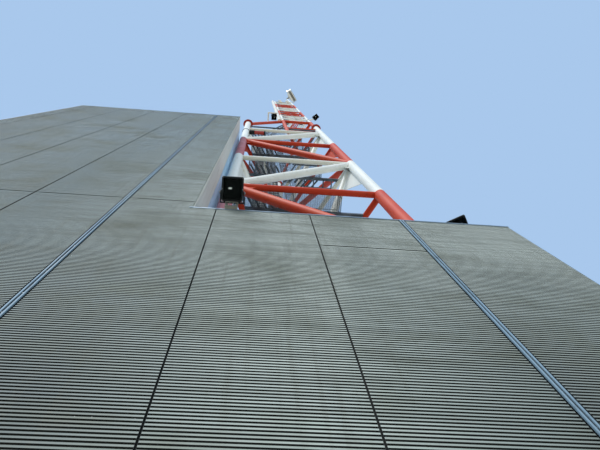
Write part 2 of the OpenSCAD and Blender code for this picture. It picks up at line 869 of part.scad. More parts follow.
low_front_wall();
low_right_wall();
low_rear_wall();
low_roof();
tall_front_wall();
tall_left_wall();
tall_right_wall();
tall_rear_wall();
tall_roof();
copings();
corner_panel();
side_cladding();
guide_rails();
leg_feet();
color(red) leg_bands(leg_at[0], 0);  // leg_left_red
color(white) leg_bands(leg_at[0], 1);  // leg_left_white
color(red) leg_bands(leg_at[1], 0);  // leg_right_red
color(white) leg_bands(leg_at[1], 1);  // leg_right_white
color(red) leg_bands(leg_at[2], 0);  // leg_rear_red
color(white) leg_bands(leg_at[2], 1);  // leg_rear_white
color(red) side(0, 0);  // front_bracing_red
color(white) side(0, 1);  // front_bracing_white
color(red) side(1, 0);  // right_bracing_red
color(white) side(1, 1);  // right_bracing_white
color(red) side(2, 0);  // left_bracing_red
color(white) side(2, 1);  // left_bracing_white
top_ring();
leg_caps();
upper_frame();
color(red) upper_legs(1);  // upper_legs_red
color(white) upper_legs(0);  // upper_legs_white
color(red) upper_bracing(1);  // upper_bracing_red
color(white) upper_bracing(0);  // upper_bracing_white
head_platform();
top_pole();
drum_antenna();
column_antenna();
panel_antennas();
cross_beams();
walkways();
cable_ladders();
climbing_ladder();
obstruction_light();
parapet_lamps();
mast_lamps();
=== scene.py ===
"""The looks of a three-legged radio mast and its ribbed equipment block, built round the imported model.

Places are in metres, in the model's frame: +Z is up and the clad front faces -Y. Where a function's words
say millimetres, it turns them to metres itself. The model is one tenth of full size, so 1 mm here is
10 mm on the real mast.
"""

import math
import random

import bmesh
import bpy
from mathutils import Matrix, Vector


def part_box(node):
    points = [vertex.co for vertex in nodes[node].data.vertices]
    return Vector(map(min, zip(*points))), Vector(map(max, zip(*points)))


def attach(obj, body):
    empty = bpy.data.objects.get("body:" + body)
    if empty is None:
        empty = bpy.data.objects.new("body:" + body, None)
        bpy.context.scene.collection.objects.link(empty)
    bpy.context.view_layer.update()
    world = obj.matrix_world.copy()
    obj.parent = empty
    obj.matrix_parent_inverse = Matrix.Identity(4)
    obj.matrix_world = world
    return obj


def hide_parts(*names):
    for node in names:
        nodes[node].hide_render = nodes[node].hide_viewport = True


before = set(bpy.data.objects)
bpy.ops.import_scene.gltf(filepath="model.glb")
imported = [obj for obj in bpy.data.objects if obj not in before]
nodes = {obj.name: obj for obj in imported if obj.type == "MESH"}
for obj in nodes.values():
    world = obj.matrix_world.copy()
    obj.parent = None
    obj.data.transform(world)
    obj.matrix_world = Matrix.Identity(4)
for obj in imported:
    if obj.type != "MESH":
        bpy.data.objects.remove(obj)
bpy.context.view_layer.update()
MM = 0.001

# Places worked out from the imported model


def middle(node):
    """The middle of a node's box."""
    low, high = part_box(node)
    return (low + high) / 2


LEG_LEFT, LEG_RIGHT, LEG_REAR = (middle(f"leg_{side}_white") for side in ("left", "right", "rear"))
LEG_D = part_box("leg_left_white")[1].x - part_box("leg_left_white")[0].x
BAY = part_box("leg_left_white")[0].z
BAYS = 6
FACE_Y = LEG_LEFT.y
FRONT_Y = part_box("low_front_wall")[0].y
REAR_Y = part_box("low_rear_wall")[1].y
RIGHT_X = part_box("low_right_wall")[1].x
LEFT_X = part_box("tall_left_wall")[0].x
NOTCH_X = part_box("low_front_wall")[0].x
LOW_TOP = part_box("low_front_wall")[1].z
TALL_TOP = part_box("tall_front_wall")[1].z
RAIL_W = 9 * MM
RAIL_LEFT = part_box("guide_rails")[0].x + RAIL_W / 2
RAIL_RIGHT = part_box("guide_rails")[1].x - RAIL_W / 2
PANEL = (RAIL_RIGHT - RAIL_LEFT) / 3
UPPER_LEG_D = 26 * MM
UPPER_LOW, UPPER_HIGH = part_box("upper_legs_white")
UPPER_LEFT = Vector((UPPER_LOW.x + UPPER_LEG_D / 2, FACE_Y, UPPER_LOW.z))
UPPER_REAR = Vector(((UPPER_LOW.x + UPPER_HIGH.x) / 2, UPPER_HIGH.y - UPPER_LEG_D / 2, UPPER_LOW.z))
UPPER_RIGHT = Vector((LEG_RIGHT.x, FACE_Y, UPPER_LOW.z))
POLE = middle("top_pole")
LADDER_LOW, LADDER_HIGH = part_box("cable_ladders")
CLIMB_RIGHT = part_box("climbing_ladder")[1].x
WALK_LOW, WALK_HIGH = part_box("walkways")


# Helpers for materials


def linear(code):
    """A colour written as sRGB hex, turned linear."""
    parts = [int(code[i:i + 2], 16) / 255 for i in (1, 3, 5)]
    return tuple(c / 12.92 if c <= 0.04045 else ((c + 0.055) / 1.055) ** 2.4 for c in parts) + (1.0,)


def add(tree, kind, links=None, **settings):
    """A new node. Settings are its properties; links give its inputs a value, a hex colour or an output."""
    node = tree.nodes.new(kind)
    for name, value in settings.items():
        setattr(node, name, value)
    for key, value in (links or {}).items():
        if isinstance(value, bpy.types.NodeSocket):
            tree.links.new(value, node.inputs[key])
        else:
            is_colour = isinstance(value, str) and value.startswith("#")
            node.inputs[key].default_value = linear(value) if is_colour else value
    return node


def start(name, **values):
    """A new material with its shader's plain values. Returns it, its tree and object coordinates."""
    material = bpy.data.materials.new(name)
    material.use_nodes = True
    tree = material.node_tree
    for key, value in values.items():
        tree.nodes["Principled BSDF"].inputs[key.replace("_", " ")].default_value = value
    return material, tree, add(tree, "ShaderNodeTexCoord").outputs["Object"]


def patches(tree, coords, size, stretch=(1, 1, 1), cut=(0.4, 0.6)):
    """A soft mask of patches: size is their width in mm, cut the noise levels that turn it from 0 to 1."""
    spread = add(tree, "ShaderNodeMapping", {"Vector": coords, "Scale": stretch})
    noise = add(tree, "ShaderNodeTexNoise", {"Vector": spread.outputs[0], "Scale": 1 / (size * MM),
                                             "Detail": 4.0, "Roughness": 0.6})
    levels = {"Value": noise.outputs["Fac"], "From Min": cut[0], "From Max": cut[1]}
    return add(tree, "ShaderNodeMapRange", levels, interpolation_type="SMOOTHSTEP").outputs["Result"]


def tinted(tree, base, tint, mask, strength=1.0):
    """The base colour with the tint laid over it where the mask says."""
    share = add(tree, "ShaderNodeMath", {0: mask, 1: strength}, operation="MULTIPLY", use_clamp=True)
    return add(tree, "ShaderNodeMix", {0: share.outputs[0], 6: base, 7: tint}, data_type="RGBA").outputs[2]


def mottled(tree, coords, base, tint, size, strength, stretch=(1, 1, 1), cut=(0.4, 0.6)):
    """The base colour with the tint laid over it in patches, with their width in millimetres."""
    return tinted(tree, base, tint, patches(tree, coords, size, stretch, cut), strength)


def facing_down(tree, least, most):
    """A mask of the faces that look towards the ground."""
    normal = add(tree, "ShaderNodeNewGeometry").outputs["True Normal"]
    height = add(tree, "ShaderNodeSeparateXYZ", {0: normal}).outputs["Z"]
    levels = {"Value": height, "From Min": -least, "From Max": -most}
    return add(tree, "ShaderNodeMapRange", levels).outputs[0]


def coated(material, colour, height=None, depth=0.0):
    """Ends a material: its shader gets the colour and, where a height is given, bump this many mm deep."""
    tree = material.node_tree
    shader = tree.nodes["Principled BSDF"]
    tree.links.new(colour, shader.inputs["Base Color"])
    if height is not None:
        bump = add(tree, "ShaderNodeBump", {"Height": height, "Distance": depth * MM, "Strength": 1.0})
        tree.links.new(bump.outputs["Normal"], shader.inputs["Normal"])
    return material


# Materials


def ribbed_sheet():
    """Coil-coated steel sheet, rolled into box ribs: matt greenish grey, near-black painted shade under each
    rib.
    """
    material, tree, coords = start("coil_coated_ribbed_sheet", Roughness=0.62, Specular_IOR_Level=0.2)
    place = add(tree, "ShaderNodeSeparateXYZ", {0: coords}).outputs
    colour = "#b3bfbc"
    # Painted light and shade: the sheets get paler with height, darker and duller towards the left, bluish
    # high up, and darkest at the left edge
    for axis, first, last, tint, strength in (
            ("Z", 0.65, 1.75, "#d6e2df", 1.0), ("X", -0.25, -0.7, "#879ba2", 0.9),
            ("Z", 1.9, 3.6, "#a5bdcc", 0.75), ("X", -0.95, -1.45, "#6f8189", 0.5)):
        mask = add(tree, "ShaderNodeMapRange", {"Value": place[axis], "From Min": first, "From Max": last})
        colour = tinted(tree, colour, tint, mask.outputs[0], strength)
    # Painted shade: darker low down, and more so away from the middle of the front
    away = add(tree, "ShaderNodeMath", {0: place["X"], 1: -0.15}, operation="SUBTRACT").outputs[0]
    away = add(tree, "ShaderNodeMath", {0: away}, operation="ABSOLUTE").outputs[0]
    aside = add(tree, "ShaderNodeMapRange", {"Value": away, "From Min": 0.05, "From Max": 0.3}).outputs[0]
    low = add(tree, "ShaderNodeMapRange", {"Value": place["Z"], "From Min": 1.5, "From Max": 0.6}).outputs[0]
    dirt_and_shade = add(tree, "ShaderNodeMath", {0: aside, 1: low}, operation="MULTIPLY").outputs[0]
    colour = tinted(tree, colour, "#4c5659", dirt_and_shade, 0.92)
    # Chalking: wide pale and dull bands that run down the sheets
    colour = mottled(tree, coords, colour, "#9aa8a6", 110, 0.3, (1, 1, 0.12))
    # Algae: olive clouds as wide as a sheet, and smudges that lie along the ribs, where dew stays longest
    colour = mottled(tree, coords, colour, "#858d80", 210, 0.62, cut=(0.47, 0.72))
    colour = mottled(tree, coords, colour, "#7a8074", 70, 0.65, (0.35, 0.35, 1), (0.53, 0.78))
    # Single ribs that are paler or duller than the next
    colour = mottled(tree, coords, colour, "#7e8885", 16, 0.35, (0.04, 0.04, 1), (0.42, 0.62))
    # Rain streaks, a few millimetres wide and many panels long
    colour = mottled(tree, coords, colour, "#868a80", 9, 0.3, (1, 1, 0.02), (0.52, 0.75))
    # Painted shade: faces that look down, the ribs' undersides, are turned near black
    colour = tinted(tree, colour, "#131514", facing_down(tree, 0.2, 0.6))
    return coated(material, colour, patches(tree, coords, 30, (1, 1, 0.3)), 0.15)


def joint_dark():
    """Black rubber and vapour barrier in the open joints; its near black is also painted shade in joints and
    laps.
    """
    material, tree, coords = start("black_joint_profile_and_painted_shade", Roughness=0.9, Specular_IOR_Level=0.2)
    return coated(material, mottled(tree, coords, "#252a2a", "#323433", 20, 0.6))


def side_sheet():
    """Coil-coated flat steel sheet: bluish grey, bluer as painted sky reflection, faintly wavy between its
    fixings.
    """
    material, tree, coords = start("coil_coated_flat_sheet", Roughness=0.42, Specular_IOR_Level=0.5)
    # Painted reflection: the sky-blue base and bands stand in for the sky mirrored in the sheet
    colour = mottled(tree, coords, "#acd3f1", "#9ec8e8", 180, 0.8, (1, 1, 0.3))
    colour = mottled(tree, coords, colour, "#7b838b", 12, 0.5, (1, 1, 0.03), (0.5, 0.75))
    return coated(material, colour, patches(tree, coords, 70, (1, 1, 0.6)), 0.5)


def beige_panel():
    """Powder-coated aluminium panel: warm beige grey, with rain streaks from its top edge."""
    material, tree, coords = start("powder_coated_panel", Roughness=0.55, Specular_IOR_Level=0.4)
    colour = mottled(tree, coords, "#d3d8d4", "#c5cac6", 150, 0.8, (1, 1, 0.25))
    colour = mottled(tree, coords, colour, "#a3a297", 10, 0.45, (1, 1, 0.03), (0.5, 0.75))
    return coated(material, colour, patches(tree, coords, 60), 0.3)


def roof_membrane():
    """Bitumen roofing felt: dark grey mineral chips, lapped every 100 mm, with dried puddle marks."""
    material, tree, coords = start("mineral_roofing_felt", Roughness=0.95, Specular_IOR_Level=0.2)
    chips = add(tree, "ShaderNodeTexVoronoi", {"Vector": coords, "Scale": 1 / (1.5 * MM)}).outputs["Distance"]
    colour = tinted(tree, "#565a5b", "#3e4244", chips, 0.8)
    colour = mottled(tree, coords, colour, "#77756c", 160, 0.6, cut=(0.5, 0.62))
    laps = add(tree, "ShaderNodeTexBrick", {"Vector": coords, "Color1": (1, 1, 1, 1), "Color2": (1, 1, 1, 1),
                                            "Mortar": (0, 0, 0, 1), "Scale": 1.0, "Mortar Size": 2 * MM,
                                            "Mortar Smooth": 0.2, "Brick Width": 0.9, "Row Height": 0.1})
    colour = tinted(tree, "#2b2d2e", colour, laps.outputs["Color"])
    return coated(material, colour, laps.outputs["Color"], 0.6)


def coping_metal():
    """Folded and coated aluminium sheet: satin grey blue, with dull water marks."""
    material, tree, coords = start("folded_aluminium_coping", Roughness=0.38, Metallic=0.5)
    colour = mottled(tree, coords, "#8295a5", "#6c7d8b", 60, 0.8)
    return coated(material, colour, patches(tree, coords, 90), 0.3)


def rail_aluminium():
    """Extruded and anodised aluminium: satin, with fine draw lines; its blue base is painted sky reflection.
    """
    material, tree, coords = start("anodised_aluminium_extrusion", Roughness=0.55, Specular_IOR_Level=0.3)
    # Painted reflection: the blue base stands in for the sky mirrored in the rails
    colour = mottled(tree, coords, "#7f9bb0", "#65829b", 60, 0.8, (1, 1, 0.05))
    colour = mottled(tree, coords, colour, "#4c565c", 14, 0.6, (1, 1, 0.2), (0.58, 0.75))
    return coated(material, colour, patches(tree, coords, 0.8, (1, 1, 0.01)), 0.02)


def marking_paint(name, fresh, worn, dirt_and_shade, underside_shade, roughness):
    """A coat of marking paint on a steel tube, brushed on over older coats."""
    material, tree, coords = start(name, Roughness=roughness, Specular_IOR_Level=0.3)
    colour = mottled(tree, coords, fresh, worn, 120, 0.85, (1, 1, 0.4), (0.38, 0.66))
    # Runs of dirt down the tubes, a few millimetres wide
    colour = mottled(tree, coords, colour, dirt_and_shade, 16, 0.5, (1, 1, 0.06), (0.52, 0.74))
    # Painted shade: faces that look towards the ground are tinted towards the underside colour
    colour = tinted(tree, colour, underside_shade, facing_down(tree, 0.1, 0.95), 0.55)
    # Bleeding rust in small spots
    colour = mottled(tree, coords, colour, "#7a4526", 7, 0.7, cut=(0.68, 0.74))
    return coated(material, colour, patches(tree, coords, 3, (1, 1, 0.3)), 0.06)


def shaded_left_leg_red_paint():
    """The left leg's red marking paint, dusty mauve pink: painted shade and sky light on the same red."""
    # Painted shade: a shaded copy of the red paint, for the left leg's red band only
    return marking_paint("red_alkyd_paint_painted_shade", "#b8646a", "#c58792", "#8f4a52", "#7e3a3c", 0.55)


def red_paint():
    """Alkyd marking paint: orange red, with painted shade where it faces the ground."""
    return marking_paint("red_alkyd_paint", "#c73b18", "#cc4e24", "#9a2a12", "#a82c10", 0.55)


def white_paint():
    """White alkyd marking paint: cool white, with beige painted shade on its undersides, and faint grey runs.
    """
    return marking_paint("white_alkyd_paint", "#f0f4f3", "#e4eae8", "#cfd0c6", "#c9c4ae", 0.42)


def cap_paint():
    """Dark red oxide primer under a thin coat: brownish and dull."""
    return marking_paint("red_oxide_paint", "#b23320", "#a83a28", "#7a2216", "#8a2415", 0.5)


def galvanised_steel(name, dark, pale, dull):
    """Galvanised steel: grey zinc with its spangle just showing, duller with every year."""
    material, tree, coords = start(name, Roughness=0.5, Metallic=0.55)
    spangle = add(tree, "ShaderNodeTexVoronoi", {"Vector": coords, "Scale": 1 / (6 * MM)}).outputs["Color"]
    shade = add(tree, "ShaderNodeSeparateXYZ", {0: spangle}).outputs["X"]
    colour = mottled(tree, coords, tinted(tree, dark, pale, shade, 0.7), dull, 50, 0.7)
    return coated(material, colour, shade, 0.03)


def grating_steel():
    """Press-welded grating, hot-dip galvanised: darker than the beams, with dirt in its corners."""
    material, tree, coords = start("galvanised_press_welded_grating", Roughness=0.6, Metallic=0.45)
    colour = mottled(tree, coords, "#3c4448", "#24292c", 40, 0.8)
    return coated(material, mottled(tree, coords, colour, "#5d4a3a", 18, 0.5, cut=(0.58, 0.7)))


def lamp_black():
    """Die-cast aluminium, powder coated: matt near-black with a fine orange-peel grain."""
    material, tree, coords = start("black_powder_coated_casting", Roughness=0.6, Specular_IOR_Level=0.25)
    colour = mottled(tree, coords, "#15191c", "#1e2225", 25, 0.7)
    return coated(material, colour, patches(tree, coords, 0.8), 0.03)


def drum_paint():
    """Spun aluminium shroud, painted: cream white, with dark brownish painted shade on its underside."""
    material, tree, coords = start("painted_spun_aluminium", Roughness=0.4, Specular_IOR_Level=0.5)
    colour = mottled(tree, coords, "#f2f1ec", "#e0ddd2", 60, 0.7)
    # Painted shade: the faces that look down are darkened brownish grey
    colour = tinted(tree, colour, "#56524b", facing_down(tree, 0.1, 0.7), 0.9)
    return coated(material, colour, patches(tree, coords, 4), 0.05)


def radome_plastic():
    """Glass-fibre radome with a gel coat: creamy white and smooth, slightly yellowed, painted shade below."""
    material, tree, coords = start("gel_coated_glass_fibre", Roughness=0.35, Specular_IOR_Level=0.5)
    colour = mottled(tree, coords, "#f0eee6", "#e0dac8", 70, 0.8, (1, 1, 0.3))
    # Painted shade: the faces that look down are tinted beige grey
    return coated(material, tinted(tree, colour, "#a89f86", facing_down(tree, 0.3, 0.9), 0.5))


def beacon_glass():
    """Pressed red glass with prism rings: deep glossy red."""
    material, tree, coords = start("pressed_red_glass", Roughness=0.12, Specular_IOR_Level=0.6)
    rings = add(tree, "ShaderNodeTexWave", {"Vector": coords, "Scale": 1 / (40 * MM), "Distortion": 0.0},
                bands_direction="X").outputs["Fac"]
    return coated(material, tinted(tree, "#a5241a", "#c4483a", rings, 0.6), rings, 0.6)


def cable_sheath(name, colour_a, colour_b):
    """Extruded polyethylene cable sheath: satin, dusty, a little bleached in long stretches."""
    material, tree, coords = start(name, Roughness=0.5, Specular_IOR_Level=0.4)
    return coated(material, mottled(tree, coords, colour_a, colour_b, 60, 0.8, (1, 1, 0.2)))


def zinc_bolt():
    """Galvanised hexagon bolts: pale dull zinc, brown where it has worn off."""
    material, tree, coords = start("galvanised_bolt", Roughness=0.45, Metallic=0.8)
    return coated(material, mottled(tree, coords, "#9aa1a3", "#6f6255", 5, 0.6, cut=(0.5, 0.7)))


def lamp_glass():
    """Toughened glass: clear and smooth, with a faint reflection that grows towards its edges."""
    material, tree, coords = start("toughened_lamp_glass", Roughness=0.05, Specular_IOR_Level=0.25)
    coated(material, mottled(tree, coords, "#07090a", "#0d0f11", 40, 0.8))
    clear = add(tree, "ShaderNodeBsdfTransparent", {"Color": "#d8dddb"})
    shader = tree.nodes["Principled BSDF"]
    mixed = add(tree, "ShaderNodeMixShader", {0: 0.82, 1: shader.outputs[0], 2: clear.outputs[0]})
    tree.links.new(mixed.outputs[0], tree.nodes["Material Output"].inputs["Surface"])
    return material


def lamp_bulb():
    """Frosted quartz tube of a discharge lamp: it glows palely behind the glass though the lamp is off, a
    painted glint.
    """
    material, tree, coords = start("frosted_quartz_tube_painted_glint", Roughness=0.25, Emission_Strength=1.4)
    # Painted glint: the unlit tube is given its own glow
    colour = mottled(tree, coords, "#f2f4f2", "#cfd6d8", 3, 0.6)
    tree.links.new(colour, tree.nodes["Principled BSDF"].inputs["Emission Color"])
    return coated(material, colour)


RIBBED, BLACK_JOINT_AND_SHADE, SIDE, BEIGE = ribbed_sheet(), joint_dark(), side_sheet(), beige_panel()
FELT, COPING, RAIL = roof_membrane(), coping_metal(), rail_aluminium()
SHADED_LEFT_LEG_RED, RED, WHITE, CAP = shaded_left_leg_red_paint(), red_paint(), white_paint(), cap_paint()
ZINC = galvanised_steel("weathered_hot_dip_galvanised_steel", "#56616b", "#747f89", "#3a4147")
FRESH_ZINC = galvanised_steel("fresh_hot_dip_galvanised_steel", "#9b9c94", "#aeaea4", "#7f7f76")
# Near-white zinc for the drum's rims: a painted highlight
PAINTED_HIGHLIGHT_ZINC = galvanised_steel("electro_galvanised_steel_painted_highlight", "#e6e8e4", "#f3f4f0", "#cfcfc6")
GRATING, BOLT = grating_steel(), zinc_bolt()
LAMP, GLASS, GLOWING_GLINT_BULB, BEACON = lamp_black(), lamp_glass(), lamp_bulb(), beacon_glass()
DRUM, RADOME = drum_paint(), radome_plastic()
CABLE_BLACK = cable_sheath("black_polyethylene_sheath", "#1c1e20", "#34383b")
CABLE_GREY = cable_sheath("grey_polyethylene_sheath", "#8f9699", "#6d7376")


# Helpers for meshes


def new_tree(name, sockets):
    """A Geometry Nodes tree with named inputs. Returns it and the outputs of its group input."""
    tree = bpy.data.node_groups.new(name, "GeometryNodeTree")
    tree.interface.new_socket("Base", in_out="INPUT", socket_type="NodeSocketGeometry")
    for label, kind in sockets.items():
        tree.interface.new_socket(label, in_out="INPUT", socket_type="NodeSocket" + kind)
    tree.interface.new_socket("Result", in_out="OUTPUT", socket_type="NodeSocketGeometry")
    return tree, add(tree, "NodeGroupInput").outputs


def end_tree(tree, geometry, material):
    """Realizes a tree's instances, sets their material and ends the tree."""
    real = add(tree, "GeometryNodeRealizeInstances", {"Geometry": geometry})
    painted = add(tree, "GeometryNodeSetMaterial", {"Geometry": real.outputs[0], "Material": material})
    add(tree, "NodeGroupOutput", {0: painted.outputs[0]})


def made(tree, base, **values):
    """The plain mesh that a tree makes from a base mesh, with its inputs given by name."""
    holder = bpy.data.objects.new(tree.name, base)
    bpy.context.scene.collection.objects.link(holder)
    modifier = holder.modifiers.new(tree.name, "NODES")
    modifier.node_group = tree
    for item in tree.interface.items_tree:
        if item.in_out == "INPUT" and item.name in values:
            modifier[item.identifier] = values[item.name]
    evaluated = holder.evaluated_get(bpy.context.evaluated_depsgraph_get())
    mesh = bpy.data.meshes.new_from_object(evaluated)
    holder.modifiers.remove(modifier)
    bpy.data.objects.remove(holder)
    return mesh


def on_points(tree, given, shape):
    """Puts the shape on each base point, scaled by the point's size, and ends the tree."""
    size = add(tree, "GeometryNodeInputNamedAttribute", {"Name": "size"}, data_type="FLOAT_VECTOR").outputs[0]
    shapes = add(tree, "GeometryNodeInstanceOnPoints", {"Points": given["Base"], "Instance": shape,
                                                        "Scale": size})
    end_tree(tree, shapes.outputs[0], given["Material"])
    return tree


def rib_tree():
    """Tapered bars on points: narrow outside, wide at the sheet."""
    tree, given = new_tree("box_ribs", {"Depth": "Float", "Foot": "Float", "Crest": "Float",
                                        "Material": "Material"})
    size = add(tree, "ShaderNodeCombineXYZ", {0: 1.0, 1: given["Depth"], 2: given["Foot"]})
    bar = add(tree, "GeometryNodeMeshCube", {"Size": size.outputs[0]})
    place = add(tree, "GeometryNodeInputPosition").outputs[0]
    side = add(tree, "ShaderNodeSeparateXYZ", {0: place}).outputs
    outside = add(tree, "FunctionNodeCompare", {"A": side["Y"], "B": 0.0}, operation="LESS_THAN").outputs[0]
    share = add(tree, "ShaderNodeMath", {0: given["Crest"], 1: given["Foot"]}, operation="DIVIDE").outputs[0]
    height = add(tree, "ShaderNodeMath", {0: side["Z"], 1: share}, operation="MULTIPLY").outputs[0]
    narrow = add(tree, "ShaderNodeCombineXYZ", {0: side["X"], 1: side["Y"], 2: height}).outputs[0]
    tapered = add(tree, "GeometryNodeSetPosition", {"Geometry": bar.outputs[0], "Selection": outside,
                                                    "Position": narrow})
    return on_points(tree, given, tapered.outputs[0])


def bar_tree():
    """Flat bars on points."""
    tree, given = new_tree("flat_bars", {"Material": "Material"})
    bar = add(tree, "GeometryNodeMeshCube", {"Size": (1, 1, 1)})
    return on_points(tree, given, bar.outputs[0])


def tube_tree():
    """Round tubes or bars along the edges of the base mesh."""
    tree, given = new_tree("tubes_along_lines", {"Diameter": "Float", "Sides": "Int", "Material": "Material"})
    lines = add(tree, "GeometryNodeMeshToCurve", {"Mesh": given["Base"]})
    radius = add(tree, "ShaderNodeMath", {0: given["Diameter"], 1: 0.5}, operation="MULTIPLY").outputs[0]
    ring = add(tree, "GeometryNodeCurvePrimitiveCircle", {"Resolution": given["Sides"], "Radius": radius})
    swept = add(tree, "GeometryNodeCurveToMesh", {"Curve": lines.outputs[0], "Profile Curve": ring.outputs[0],
                                                  "Fill Caps": True})
    end_tree(tree, swept.outputs[0], given["Material"])
    return tree


def bolt_tree():
    """Hexagon heads on washers, one on each point, turned along the point's axis."""
    tree, given = new_tree("hexagon_bolts", {"Width": "Float", "Material": "Material"})
    parts = add(tree, "GeometryNodeJoinGeometry")
    for corners, *shares in ((6, 0.5, 0.9), (10, 0.8, 0.25)):
        radius, height = (add(tree, "ShaderNodeMath", {0: given["Width"], 1: share}, operation="MULTIPLY")
                          for share in shares)
        disc = add(tree, "GeometryNodeMeshCylinder", {"Vertices": corners, "Radius": radius.outputs[0],
                                                      "Depth": height.outputs[0]})
        tree.links.new(disc.outputs["Mesh"], parts.inputs[0])
    axis = add(tree, "GeometryNodeInputNamedAttribute", {"Name": "axis"}, data_type="FLOAT_VECTOR").outputs[0]
    turn = add(tree, "FunctionNodeAlignRotationToVector", {"Vector": axis}, axis="Z").outputs[0]
    heads = add(tree, "GeometryNodeInstanceOnPoints", {"Points": given["Base"], "Instance": parts.outputs[0],
                                                       "Rotation": turn})
    end_tree(tree, heads.outputs[0], given["Material"])
    return tree


RIBS, BARS, TUBES, BOLTS = rib_tree(), bar_tree(), tube_tree(), bolt_tree()
SHARP_ANGLE = math.radians(35)


def placed(points, place=Matrix()):
    """Points given in millimetres, set in a place."""
    return [place @ Vector((x * MM, y * MM, z * MM)) for x, y, z in points]


def in_mm(corners):
    """Pairs of corners given in millimetres, turned to metres."""
    return [placed(pair) for pair in corners]


def marked_points(points, name, vectors):
    """A base mesh of points that carry one named vector each."""
    base = bpy.data.meshes.new("places")
    base.from_pydata(points, [], [])
    values = [v for vector in vectors for v in vector]
    base.attributes.new(name, "FLOAT_VECTOR", "POINT").data.foreach_set("vector", values)
    return base


def bars(corners, material):
    """Many plain flat bars, each between a pair of corners."""
    spans = [(Vector(map(min, low, high)), Vector(map(max, low, high))) for low, high in corners]
    middles, sizes = [(low + high) / 2 for low, high in spans], [high - low for low, high in spans]
    return made(BARS, marked_points(middles, "size", sizes), Material=material)


def tubes(paths, diameter, material, sides=8, closed=False):
    """Tubes along lists of points, in one mesh. The diameter is in millimetres."""
    points, edges = [], []
    for path in paths:
        first = len(points)
        points += path
        edges += [(first + i, first + i + 1) for i in range(len(path) - 1)]
        if closed:
            edges.append((len(points) - 1, first))
    base = bpy.data.meshes.new("lines")
    base.from_pydata(points, edges, [])
    return made(TUBES, base, Diameter=diameter * MM, Sides=sides, Material=material)


def bolts(points, axis, width):
    """Bolts on points, all along one axis, in one mesh. The width is in millimetres."""
    base = marked_points(points, "axis", [axis] * len(points))
    return made(BOLTS, base, Width=width * MM, Material=BOLT)


def solid(bm, material):
    """Ends a bmesh as a plain mesh with outward normals."""
    bmesh.ops.recalc_face_normals(bm, faces=bm.faces)
    mesh = bpy.data.meshes.new("solid")
    bm.to_mesh(mesh)
    bm.free()
    mesh.materials.append(material)
    return mesh


def blocks(corners, material, bevel=0.0):
    """Closed blocks between pairs of corners, in one mesh, with edges bevelled by so many millimetres."""
    bm = bmesh.new()
    for low, high in corners:
        low, high = Vector(map(min, low, high)), Vector(map(max, low, high))
        bmesh.ops.create_cube(bm, size=1, matrix=Matrix.Translation((low + high) / 2)
                              @ Matrix.Diagonal((*(high - low), 1)))
    if bevel:
        bmesh.ops.bevel(bm, geom=bm.edges[:], offset=bevel * MM, segments=2, profile=0.5, affect="EDGES")
    return solid(bm, material)


def rounded(width, length, radius, height, steps=3):
    """A ring of points round a rectangle with rounded corners, from sizes in millimetres."""
    ring = []
    for quarter, (x, y) in enumerate(((1, 1), (-1, 1), (-1, -1), (1, -1))):
        for i in range(steps + 1):
            a = math.pi / 2 * (quarter + i / steps)
            ring.append((x * (width / 2 - radius) + radius * math.cos(a),
                         y * (length / 2 - radius) + radius * math.sin(a), height))
    return placed(ring)


def loft(rings, material, looped=False):
    """A closed skin through rings of points. Its ends are capped, or joined when it is looped."""
    bm = bmesh.new()
    rings = [[bm.verts.new(point) for point in ring] for ring in rings]
    for low, high in zip(rings, rings[1:] + rings[:1] if looped else rings[1:]):
        for i in range(len(low)):
            j = (i + 1) % len(low)
            bm.faces.new((low[i], low[j], high[j], high[i]))
    if not looped:
        bm.faces.new(rings[0])
        bm.faces.new(rings[-1])
    return solid(bm, material)


def turned(profile, material, looped=False, steps=32):
    """A part turned about the vertical, from its (radius, height) pairs in millimetres."""
    angles = [2 * math.pi * i / steps for i in range(steps)]
    rings = [placed([(r * math.cos(a), r * math.sin(a), h) for a in angles]) for r, h in profile]
    return loft(rings, material, looped)


def moved(parts, place):
    """The meshes, moved to a place."""
    for part in parts:
        part.transform(place)
    return parts


def piece(name, parts, replaced=()):
    """One named object from several meshes, riding on the mast."""
    bm = bmesh.new()
    materials = []
    for part in parts:
        first = len(bm.faces)
        bm.from_mesh(part)
        bm.faces.ensure_lookup_table()
        places = []
        for material in part.materials:
            if material not in materials:
                materials.append(material)
            places.append(materials.index(material))
        for face in bm.faces[first:]:
            face.material_index = places[face.material_index]
            face.smooth = True
    mesh = bpy.data.meshes.new(name)
    bm.to_mesh(mesh)
    bm.free()
    for material in materials:
        mesh.materials.append(material)
    mesh.set_sharp_from_angle(angle=SHARP_ANGLE)
    obj = bpy.data.objects.new(name, mesh)
    bpy.context.scene.collection.objects.link(obj)
    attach(obj, "root")
    if replaced:
        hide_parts(*replaced)


# Clad walls

RIB_PITCH = 7.6 * MM
RIB_DEPTH = 1.8 * MM
RIB_CREST = 3.5 * MM
RIB_FOOT = 4.9 * MM
SHEET_T = 1.2 * MM
JOINT_W = 2.8 * MM
TALL_JOINT_W = 3.8 * MM
RAIL_GAP = RAIL_W + 7 * MM
RAIL_SHIFT = 1.5 * MM
SINK = 0.1 * MM
LIP_T = 0.4 * MM
SCREW_ROWS = 22
SCREW_PITCH = 76 * MM
SCREW_EDGE = 8 * MM
LOW_LAP_Z = 193.5 * RIB_PITCH
TALL_LAP_Z = 242.5 * RIB_PITCH


